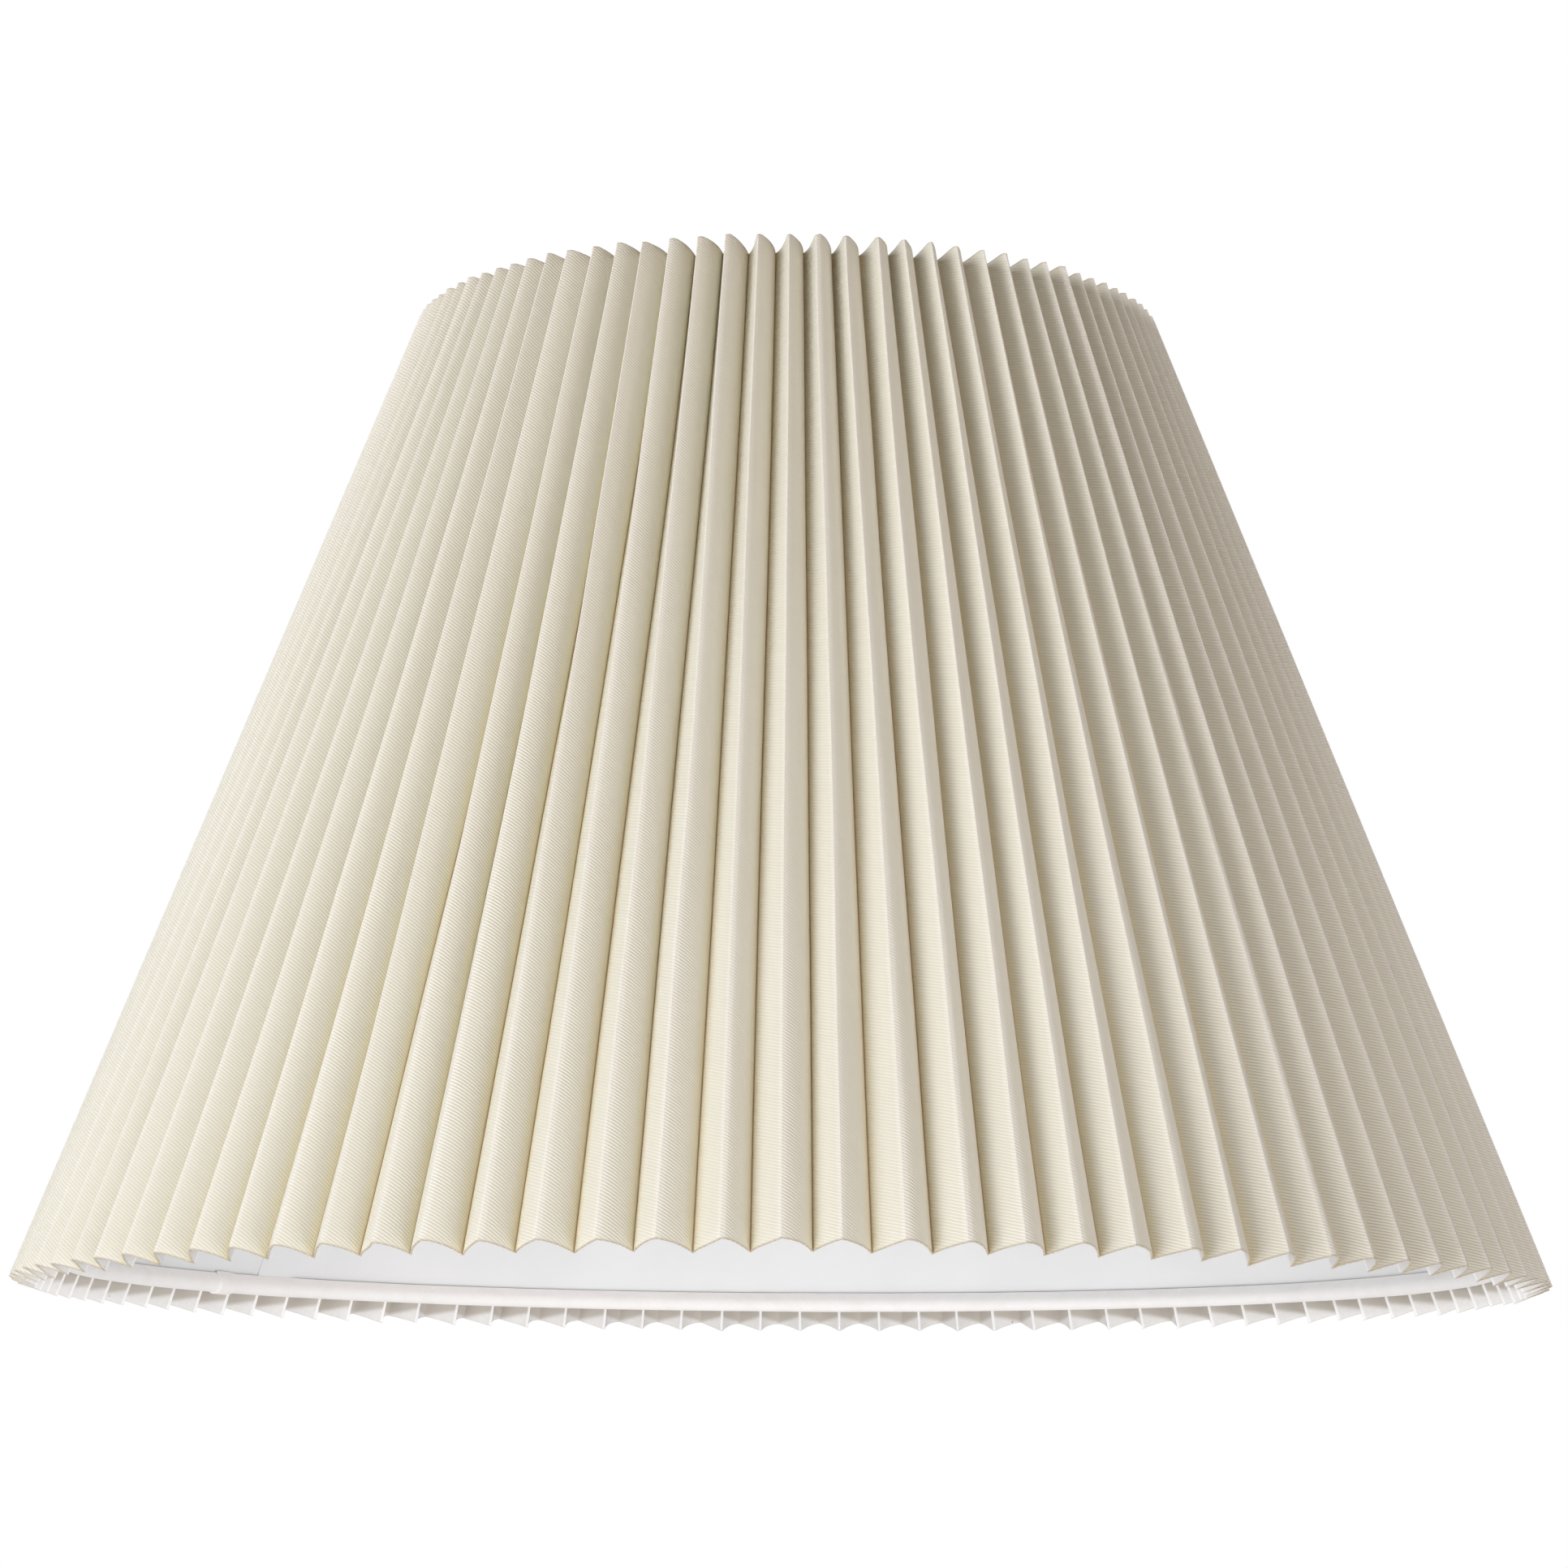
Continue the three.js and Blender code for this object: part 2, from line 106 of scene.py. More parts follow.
class Graph:
    """A material's node tree, with short calls for the nodes that the finishes share."""

    def __init__(self, name: str) -> None:
        """Starts an empty material.

        Args:
            name: The material's name.
        """
        self.material = bpy.data.materials.new(name)
        self.material.use_nodes = True
        self.tree = self.material.node_tree
        self.tree.nodes.clear()
        self.shader = self.tree.nodes.new("ShaderNodeBsdfPrincipled")
        output = self.tree.nodes.new("ShaderNodeOutputMaterial")
        self.tree.links.new(self.shader.outputs["BSDF"], output.inputs["Surface"])

    def plug(self, target: Socket, value: object) -> None:
        """Links a socket to a target, or sets the target to a constant.

        Args:
            target: The input to feed.
            value: A socket, a number or a colour.
        """
        if isinstance(value, Socket):
            self.tree.links.new(value, target)
        else:
            target.default_value = value

    def math(self, operation: str, *values: object) -> Socket:
        """A math node.

        Args:
            operation: The node's operation.
            values: Its inputs, in order.

        Returns:
            The result's socket.
        """
        node = self.tree.nodes.new("ShaderNodeMath")
        node.operation = operation
        for target, value in zip(node.inputs, values):
            self.plug(target, value)
        return node.outputs[0]

    def mix(self, share: object, first: object, second: object) -> Socket:
        """A mix of two colours.

        Args:
            share: How much of the second.
            first: The first colour.
            second: The second colour.

        Returns:
            The mixed colour's socket.
        """
        node = self.tree.nodes.new("ShaderNodeMix")
        node.data_type = "RGBA"
        for index, value in ((0, share), (6, first), (7, second)):
            self.plug(node.inputs[index], value)
        return node.outputs[2]

    def noise(self, vector: object, scale: float, detail: float = 2.0) -> Socket:
        """A noise texture.

        Args:
            vector: Where it is read.
            scale: Its scale.
            detail: Its detail.

        Returns:
            Its grey socket.
        """
        node = self.tree.nodes.new("ShaderNodeTexNoise")
        self.plug(node.inputs["Vector"], vector)
        node.inputs["Scale"].default_value = scale
        node.inputs["Detail"].default_value = detail
        return node.outputs["Fac"]

    def ramp(
        self, value: object, low: float, high: float, to_low: float, to_high: float
    ) -> Socket:
        """A clamped, smooth map of one range to another.

        Args:
            value: The value to map.
            low: Start of its range.
            high: End of its range.
            to_low: Result at the start.
            to_high: Result at the end.

        Returns:
            The mapped value's socket.
        """
        node = self.tree.nodes.new("ShaderNodeMapRange")
        node.interpolation_type = "SMOOTHSTEP"
        for target, given in zip(node.inputs[:5], (value, low, high, to_low, to_high)):
            self.plug(target, given)
        return node.outputs[0]

    def tint(
        self,
        base: object,
        colour: object,
        value: object,
        reach: tuple[float, float],
        shares: tuple[float, float],
    ) -> Socket:
        """Lays a colour over another, by as much as a value asks for.

        Args:
            base: The colour below.
            colour: The colour laid over it.
            value: The value.
            reach: The value's range.
            shares: How much of the colour is laid on at the two ends of that range.

        Returns:
            The tinted colour's socket.
        """
        return self.mix(self.ramp(value, *reach, *shares), base, colour)

    def finish(self, colour: object, roughness: object, others: dict[str, object]) -> None:
        """Feeds the shader.

        Args:
            colour: Its base colour.
            roughness: Its roughness.
            others: Its other inputs, by name.
        """
        for name, value in {"Base Color": colour, "Roughness": roughness, **others}.items():
            self.plug(self.shader.inputs[name], value)

    def attribute(self, name: str) -> Socket:
        """The value of a mesh attribute.

        Args:
            name: The attribute's name.

        Returns:
            Its socket.
        """
        node = self.tree.nodes.new("ShaderNodeAttribute")
        node.attribute_name = name
        return node.outputs["Fac"]

    def object_place(self) -> Socket:
        """The place in object coordinates."""
        return self.tree.nodes.new("ShaderNodeTexCoord").outputs["Object"]

    def uv_parts(self, uv_map: str) -> tuple[Socket, Socket, Socket]:
        """A UV map's vector, and its two coordinates.

        Args:
            uv_map: The map's name.

        Returns:
            The vector, the first coordinate and the second one.
        """
        node = self.tree.nodes.new("ShaderNodeUVMap")
        node.uv_map = uv_map
        split = self.tree.nodes.new("ShaderNodeSeparateXYZ")
        self.tree.links.new(node.outputs[0], split.inputs[0])
        return node.outputs[0], split.outputs[0], split.outputs[1]

    def bump(self, height: object, distance: float, strength: float = 1.0) -> None:
        """Gives the surface a relief.

        Args:
            height: The relief's height.
            distance: How deep a height of one is, in metres.
            strength: How much of the relief shows.
        """
        node = self.tree.nodes.new("ShaderNodeBump")
        node.inputs["Distance"].default_value = distance
        node.inputs["Strength"].default_value = strength
        self.plug(node.inputs["Height"], height)
        self.tree.links.new(node.outputs[0], self.shader.inputs["Normal"])


@dataclass(frozen=True)
class TwillFinish:
    """Cream twill, laminated to a white backing and pressed into pleats.

    Each reach is a range of distances from a fold or a cut edge, over which a colour fades out. Along
    the crests lies a painted highlight, partly wear; near the inner folds lie painted bounce light
    and painted shade.
    """

    name: str
    colour: Colour = (0.80, 0.782, 0.688, 1.0)
    # Painted highlight along the crests, partly wear of the folded cloth.
    crest_wear_and_highlight_colour: Colour = (0.87, 0.85, 0.79, 1.0)
    crest_wear_and_highlight_reach: tuple[float, float] = (0.4 * MM, 1.4 * MM)
    # Painted bounce light, warm yellow, on the faces near each inner fold.
    painted_bounce_colour: Colour = (0.80, 0.73, 0.49, 1.0)
    painted_bounce_reach: tuple[float, float] = (0.4 * MM, 4.4 * MM)
    # Painted shade, dark brown, in each inner fold.
    valley_shade_colour: Colour = (0.50, 0.315, 0.11, 1.0)
    valley_shade_reach: tuple[float, float] = (0.0, 1.1 * MM)
    edge_colour: Colour = (0.42, 0.35, 0.25, 1.0)
    edge_reach: tuple[float, float] = (0.05 * MM, 0.5 * MM)
    rib_period: float = 0.75 * MM
    rib_slope: float = -0.50
    yarn_period: float = 0.42 * MM
    rib_relief: float = 0.5
    yarn_relief: float = 0.16
    slub_relief: float = 0.9
    relief: float = 0.06 * MM
    roughness: float = 0.82

    def weave(self, graph: Graph) -> tuple[Socket, Socket, Socket]:
        """The twill's slanted ribs and its uneven yarn.

        Args:
            graph: The material's nodes.

        Returns:
            The ribs, the slubs of the yarn, and the relief that they make with the crossing yarns.
        """
        vector, along, up = graph.uv_parts(CLOTH_MAP)
        wander = graph.math("MULTIPLY", graph.noise(vector, 90.0), 0.9)
        length = math.hypot(1.0, self.rib_slope)
        across = graph.math("SUBTRACT", up, graph.math("MULTIPLY", along, self.rib_slope))
        turns = graph.math("MULTIPLY", across, 2 * math.pi / (self.rib_period * length))
        rib = graph.math("SINE", graph.math("ADD", turns, wander))
        weft = graph.math("SINE", graph.math("MULTIPLY", along, 2 * math.pi / self.yarn_period))
        warp = graph.math("SINE", graph.math("MULTIPLY", up, 2 * math.pi / self.yarn_period))
        check = graph.math("MULTIPLY", weft, warp)
        slub = graph.noise(vector, 1400.0, 3.0)
        relief = graph.math("MULTIPLY", rib, self.rib_relief)
        for part, share in ((check, self.yarn_relief), (slub, self.slub_relief)):
            relief = graph.math("ADD", relief, graph.math("MULTIPLY", part, share))
        return rib, slub, relief

    def material(self) -> bpy.types.Material:
        """Builds the material.

        Returns:
            The finished material.
        """
        graph = Graph(self.name)
        rib, slub, relief = self.weave(graph)

        cloud = graph.noise(graph.object_place(), 16.0, 4.0)
        darker = shaded(self.colour, 0.94, 0.925, 0.89)
        base = graph.tint(self.colour, darker, cloud, (0.3, 0.7), (0.0, 0.22))
        base = graph.tint(base, shaded(self.colour, 0.74), rib, (-1.0, 0.2), (0.2, 0.0))
        base = graph.tint(base, darker, slub, (0.35, 0.75), (0.08, 0.0))

        # Painted highlight along each crest, broken into dots along the twill's ribs and slubs,
        # partly wear of the fold.
        crest = graph.attribute(CREST_DISTANCE)
        rib_top = graph.ramp(rib, -0.7, 0.6, 0.5, 1.0)
        crest_highlight_dots = graph.math("MULTIPLY", rib_top, graph.ramp(slub, 0.3, 0.6, 0.6, 1.0))
        crest_wear_and_highlight = graph.math("MULTIPLY", graph.ramp(crest, *self.crest_wear_and_highlight_reach, 0.7, 0.0), crest_highlight_dots)
        base = graph.mix(crest_wear_and_highlight, base, self.crest_wear_and_highlight_colour)
        valley = graph.attribute(VALLEY_DISTANCE)
        # Painted bounce light: a warm yellow band on the faces near each inner fold.
        base = graph.tint(base, self.painted_bounce_colour, valley, self.painted_bounce_reach, (0.55, 0.0))
        # Painted shade: dark brown in each inner fold.
        base = graph.tint(base, self.valley_shade_colour, valley, self.valley_shade_reach, (0.68, 0.0))
        edge = graph.attribute(EDGE_DISTANCE)
        base = graph.tint(base, self.edge_colour, edge, self.edge_reach, (0.5, 0.0))

        rough = graph.ramp(slub, 0.3, 0.7, self.roughness - 0.06, self.roughness + 0.08)
        others = {"Specular IOR Level": 0.28, "Sheen Weight": 0.12, "Sheen Roughness": 0.5}
        graph.finish(base, rough, others)
        graph.bump(relief, self.relief, 0.9)
        return graph.material


@dataclass(frozen=True)
class BackingFinish:
    """The non-woven backing on the inside of the pleats, with a few specks of glue.

    It is white near its cut edges and lighter along the inner folds, where a painted highlight lies,
    and greyer deeper in, which is painted shade.
    """

    name: str = "cover_backing"
    colour: Colour = (0.86, 0.86, 0.855, 1.0)
    fibre_colour: Colour = (0.78, 0.775, 0.765, 1.0)
    # Painted highlight along the inner folds.
    inner_fold_highlight_colour: Colour = (0.93, 0.93, 0.93, 1.0)
    # Painted shade deeper inside the pleats.
    deep_shade_colour: Colour = (0.50, 0.455, 0.39, 1.0)
    edge_colour: Colour = (0.50, 0.44, 0.36, 1.0)
    speck_colour: Colour = (0.30, 0.20, 0.11, 1.0)
    unshaded_height: float = 4.6 * MM
    shade_blur: float = 0.9 * MM

    def material(self) -> bpy.types.Material:
        """Builds the material.

        Returns:
            The finished material.
        """
        graph = Graph(self.name)
        vector, _, _ = graph.uv_parts(CLOTH_MAP)
        fibres = graph.noise(vector, 900.0, 4.0)
        base = graph.tint(self.colour, self.fibre_colour, fibres, (0.35, 0.7), (0.5, 0.0))
        edge = graph.attribute(EDGE_DISTANCE)
        inner_fold = graph.attribute(VALLEY_DISTANCE)
        # Painted shade: greyer further in from the cut edge, and sooner the further from an inner
        # fold.
        depth = graph.math("ADD", edge, graph.math("MULTIPLY", inner_fold, 0.45))
        shade_onset = (self.unshaded_height - self.shade_blur, self.unshaded_height + self.shade_blur)
        base = graph.tint(base, self.deep_shade_colour, depth, shade_onset, (0.12, 0.85))
        # Painted highlight: lighter along each inner fold.
        base = graph.tint(base, self.inner_fold_highlight_colour, inner_fold, (0.35 * MM, 0.7 * MM), (0.9, 0.0))
        glue = graph.noise(vector, 420.0, 1.0)
        base = graph.tint(base, self.speck_colour, glue, (0.775, 0.80), (0.0, 0.7))
        base = graph.tint(base, self.edge_colour, edge, (0.0, 0.35 * MM), (0.45, 0.0))
        graph.finish(base, 0.7, {"Specular IOR Level": 0.3})
        graph.bump(fibres, 0.03 * MM, 0.6)
        return graph.material


@dataclass(frozen=True)
class CutEdgeFinish:
    """The cut edge of the cloth and its backing: darker taupe than the cloth, flecked with lighter
    yarn ends.
    """

    name: str = "cover_cut_edge"
    colour: Colour = (0.47, 0.395, 0.29, 1.0)
    yarn_colour: Colour = (0.72, 0.655, 0.53, 1.0)

    def material(self) -> bpy.types.Material:
        """Builds the material.

        Returns:
            The finished material.
        """
        graph = Graph(self.name)
        vector, _, _ = graph.uv_parts(CLOTH_MAP)
        ends = graph.noise(vector, 1500.0, 2.0)
        base = graph.tint(self.colour, self.yarn_colour, ends, (0.45, 0.62), (0.0, 0.8))
        graph.finish(base, 0.9, {})
        graph.bump(ends, 0.05 * MM, 0.8)
        return graph.material


@dataclass(frozen=True)
class StyreneFinish:
    """Smooth white styrene sheet."""

    name: str = "liner_styrene"
    colour: Colour = (0.80, 0.81, 0.82, 1.0)

    def material(self) -> bpy.types.Material:
        """Builds the material.

        Returns:
            The finished material.
        """
        graph = Graph(self.name)
        place = graph.object_place()
        cloud = graph.noise(place, 22.0, 3.0)
        grain = graph.noise(place, 1700.0, 2.0)
        base = graph.tint(self.colour, shaded(self.colour, 0.965), cloud, (0.35, 0.65), (0.0, 1.0))
        graph.finish(base, graph.ramp(cloud, 0.3, 0.7, 0.48, 0.6), {"Specular IOR Level": 0.4})
        graph.bump(graph.math("ADD", grain, graph.math("MULTIPLY", cloud, 3.0)), 0.015 * MM, 0.5)
        return graph.material


@dataclass(frozen=True)
class TapeFinish:
    """Soft white cloth tape, rolled and glued."""

    name: str = "trim_tape"
    colour: Colour = (0.90, 0.893, 0.885, 1.0)

    def material(self) -> bpy.types.Material:
        """Builds the material.

        Returns:
            The finished material.
        """
        graph = Graph(self.name)
        place = graph.object_place()
        lumps = graph.noise(place, 150.0, 3.0)
        fuzz = graph.noise(place, 1300.0, 4.0)
        darker = shaded(self.colour, 0.93, 0.92, 0.905)
        base = graph.tint(self.colour, darker, lumps, (0.4, 0.75), (0.0, 0.5))
        base = graph.tint(base, darker, fuzz, (0.3, 0.6), (0.3, 0.0))
        others = {"Sheen Weight": 0.2, "Sheen Roughness": 0.6, "Specular IOR Level": 0.25}
        graph.finish(base, 0.85, others)
        graph.bump(graph.math("ADD", graph.math("MULTIPLY", lumps, 3.0), fuzz), 0.06 * MM, 0.7)
        return graph.material


@dataclass(frozen=True)
class ZincFinish:
    """Bright zinc-plated steel wire and washer, lightly scuffed."""

    name: str = "zinc_steel"
    colour: Colour = (0.66, 0.67, 0.68, 1.0)
    dull_colour: Colour = (0.47, 0.475, 0.48, 1.0)

    def material(self) -> bpy.types.Material:
        """Builds the material.

        Returns:
            The finished material.
        """
        graph = Graph(self.name)
        place = graph.object_place()
        spangle = graph.noise(place, 420.0, 3.0)
        scuffs = graph.noise(place, 2600.0, 2.0)
        base = graph.tint(self.colour, self.dull_colour, spangle, (0.42, 0.68), (0.0, 0.7))
        graph.finish(base, graph.ramp(spangle, 0.3, 0.7, 0.24, 0.45), {"Metallic": 1.0})
        graph.bump(scuffs, 0.01 * MM, 0.5)
        return graph.material


@dataclass(frozen=True)
class PaperFinish:
    """Seamless white studio paper under the shade."""

    name: str = "studio_paper"
    colour: Colour = (0.86, 0.86, 0.86, 1.0)
    glow: float = 0.13

    def material(self) -> bpy.types.Material:
        """Builds the material.

        Returns:
            The finished material.
        """
        graph = Graph(self.name)
        cloud = graph.noise(graph.object_place(), 3.0, 2.0)
        base = graph.mix(cloud, self.colour, shaded(self.colour, 0.99))
        glow = {"Emission Color": (1.0, 1.0, 1.0, 1.0), "Emission Strength": self.glow}
        graph.finish(base, 0.95, {"Specular IOR Level": 0.0, **glow})
        return graph.material


# ---- Modelling helpers ----------------------------------------------------------------------------

CLOTH_MAP = "cloth"
CREST_DISTANCE = "crest_distance"
VALLEY_DISTANCE = "valley_distance"
EDGE_DISTANCE = "edge_distance"


def select_only(piece: bpy.types.Object) -> None:
    """Makes a piece the active object and the only selected one.

    Args:
        piece: The piece.
    """
    bpy.ops.object.select_all(action="DESELECT")
    piece.select_set(True)
    bpy.context.view_layer.objects.active = piece


def new_piece(name: str) -> bpy.types.Object:
    """Takes the object that an operator has just added, and names it.

    Args:
        name: The piece's name.

    Returns:
        The piece.
    """
    piece = bpy.context.view_layer.objects.active
    piece.name = name
    piece.data.name = name
    return piece


def settle(piece: bpy.types.Object, smooth_degrees: float | None) -> None:
    """Applies a piece's place, so that its object sits at the origin, and shades it smooth.

    Args:
        piece: The piece.
        smooth_degrees: Edges below this angle look smooth, or None for all.
    """
    select_only(piece)
    bpy.ops.object.transform_apply(location=True, rotation=True, scale=True)
    if smooth_degrees is None:
        bpy.ops.object.shade_smooth()
    else:
        bpy.ops.object.shade_smooth_by_angle(angle=math.radians(smooth_degrees))


def apply_modifier(piece: bpy.types.Object, kind: str, **settings: object) -> None:
    """Adds a modifier to a piece and applies it.

    Args:
        piece: The piece.
        kind: The modifier's type.
        settings: Its settings.
    """
    select_only(piece)
    modifier = piece.modifiers.new(kind.title(), kind)
    for key, value in settings.items():
        setattr(modifier, key, value)
    bpy.ops.object.modifier_apply(modifier=modifier.name)


def soften(piece: bpy.types.Object, width: float, segments: int) -> None:
    """Rounds a piece's sharp edges.

    Args:
        piece: The piece.
        width: How far the rounding reaches.
        segments: How many faces it has.
    """
    limit = {"limit_method": "ANGLE", "angle_limit": math.radians(50)}
    apply_modifier(piece, "BEVEL", width=width, segments=segments, **limit)


def vertex_places(piece: bpy.types.Object) -> np.ndarray:
    """The places of a piece's vertices, one row each."""
    places = np.empty(len(piece.data.vertices) * 3)
    piece.data.vertices.foreach_get("co", places)
    return places.reshape(-1, 3)


def set_places(piece: bpy.types.Object, places: np.ndarray) -> None:
    """Moves a piece's vertices.

    Args:
        piece: The piece.
        places: Their new places, one row each.
    """
    piece.data.vertices.foreach_set("co", places.ravel())
    piece.data.update()


def on_cylinder(radius: np.ndarray, azimuth: np.ndarray, height: np.ndarray) -> np.ndarray:
    """Places from their radius, azimuth and height.

    Args:
        radius: The distances from the shade's axis.
        azimuth: The angles from the front.
        height: The heights.

    Returns:
        The places, along a new last axis.
    """
    radius, azimuth, height = np.broadcast_arrays(radius, azimuth, height)
    return np.stack([radius * np.sin(azimuth), -radius * np.cos(azimuth), height], axis=-1)


def unit(vectors: np.ndarray) -> np.ndarray:
    """The vectors along the last axis, each made one long."""
    return vectors / np.linalg.norm(vectors, axis=-1, keepdims=True)


def smoothstep(value: np.ndarray) -> np.ndarray:
    """A smooth climb from 0 to 1."""
    value = np.clip(value, 0.0, 1.0)
    return value * value * (3.0 - 2.0 * value)


def grid_faces(rows: int, columns: int, wraps: bool) -> np.ndarray:
    """Quads of a grid whose points are numbered row by row.

    Args:
        rows: Number of rows.
        columns: Number of points in a row.
        wraps: Whether a row's last point joins its first.

    Returns:
        Four point numbers for each quad.
    """
    row = np.arange(rows - 1)[:, None] * columns
    column = np.arange(columns if wraps else columns - 1)[None, :]
    following = (column + 1) % columns
    corners = [row + column, row + following, row + columns + following, row + columns + column]
    return np.stack(np.broadcast_arrays(*corners), axis=-1).reshape(-1, 4)


def mesh_piece(name: str, places: np.ndarray, faces: np.ndarray) -> bpy.types.Object:
    """Makes a piece from points and faces.

    Args:
        name: The piece's name.
        places: The points, one row each.
        faces: The point numbers of each face.

    Returns:
        The piece.
    """
    mesh = bpy.data.meshes.new(name)
    mesh.from_pydata(places.tolist(), [], faces.tolist())
    mesh.validate()
    piece = bpy.data.objects.new(name, mesh)
    bpy.context.scene.collection.objects.link(piece)
    return piece


def point_attribute(piece: bpy.types.Object, name: str, values: np.ndarray) -> None:
    """Gives each vertex of a piece a number that its material reads.

    Args:
        piece: The piece.
        name: The attribute's name.
        values: One number for each vertex.
    """
    layer = piece.data.attributes.new(name, "FLOAT", "POINT")
    layer.data.foreach_set("value", np.asarray(values, np.float32).ravel())


def hand_over(piece: bpy.types.Object, node: str) -> None:
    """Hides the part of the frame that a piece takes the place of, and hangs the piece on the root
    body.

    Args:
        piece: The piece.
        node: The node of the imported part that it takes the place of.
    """
    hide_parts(node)
    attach(piece, ROOT)


# ---- Cover ----------------------------------------------------------------------------------------


@dataclass(frozen=True)
class Pleating:
    """The lines that the cover is folded on. Even folds are crests and odd ones are inner folds."""

    count: int = 96
    crest_radius_bottom: float = 203 * MM
    crest_radius_top: float = 101 * MM
    rise: float = 262 * MM
    face: float = 9.8 * MM
    wall: float = 0.5 * MM
    spread_bottom: float = 0.055
    spread_top: float = 0.081
    lean_top: float = 0.08

    @property
    def slant(self) -> float:
        """Length of a fold."""
        return math.hypot(self.crest_radius_bottom - self.crest_radius_top, self.rise)

    @property
    def wall_out(self) -> tuple[float, float]:
        """Unit vector out of the wall, as its radial and its upward part."""
        run = self.crest_radius_bottom - self.crest_radius_top
        return self.rise / self.slant, run / self.slant

    def depth(self, radius: float) -> float:
        """Depth of the pleats, square to the wall, at a crest radius."""
        return math.sqrt(self.face**2 - (math.pi * radius / self.count) ** 2)

    def fold_ends(self, fold: int) -> tuple[np.ndarray, np.ndarray]:
        """The two ends of a fold, as (radius, azimuth, height).

        Args:
            fold: The fold, counted from the front crest.

        Returns:
            Its bottom end and its top end.
        """
        out, up = self.wall_out
        reach = self.wall / 2 * self.face * self.count / (math.pi * self.crest_radius_bottom)
        base = (self.depth(self.crest_radius_bottom) + reach) * up
        angle = fold * math.pi / self.count
        inner = fold % 2 == 1
        low_shift = self.spread_bottom * math.sin(angle)
        high_shift = self.spread_top * math.sin(2 * angle) * (1 + math.cos(angle)) / 2
        ends = []
        for radius, height, shift, lean in (
            (self.crest_radius_bottom, base, low_shift, 0.0),
            (self.crest_radius_top, base + self.rise, high_shift, self.lean_top),
        ):
            depth = self.depth(radius) if inner else 0.0
            azimuth = angle + shift + (lean * 2 * math.pi / self.count if inner else 0.0)
            ends.append(np.array([radius - depth * out, azimuth, height - depth * up]))
        return ends[0], ends[1]


@dataclass(frozen=True)
class FaceCurve:
    """How a pleat's face curves from its crest to its inner fold: the two handles of a cubic curve.

    Each handle is (share of the way round, share of the depth that is left), at the bottom and at
    the top.
    """

    first_bottom: tuple[float, float]
    second_bottom: tuple[float, float]
    first_top: tuple[float, float]
    second_top: tuple[float, float]


FACE_AFTER_CREST = FaceCurve((0.40, 0.98), (0.80, 0.55), (0.40, 0.85), (1.02, 0.50))
FACE_BEFORE_CREST = FaceCurve((0.35, 0.72), (0.72, 0.42), (0.30, 0.55), (0.45, 0.15))


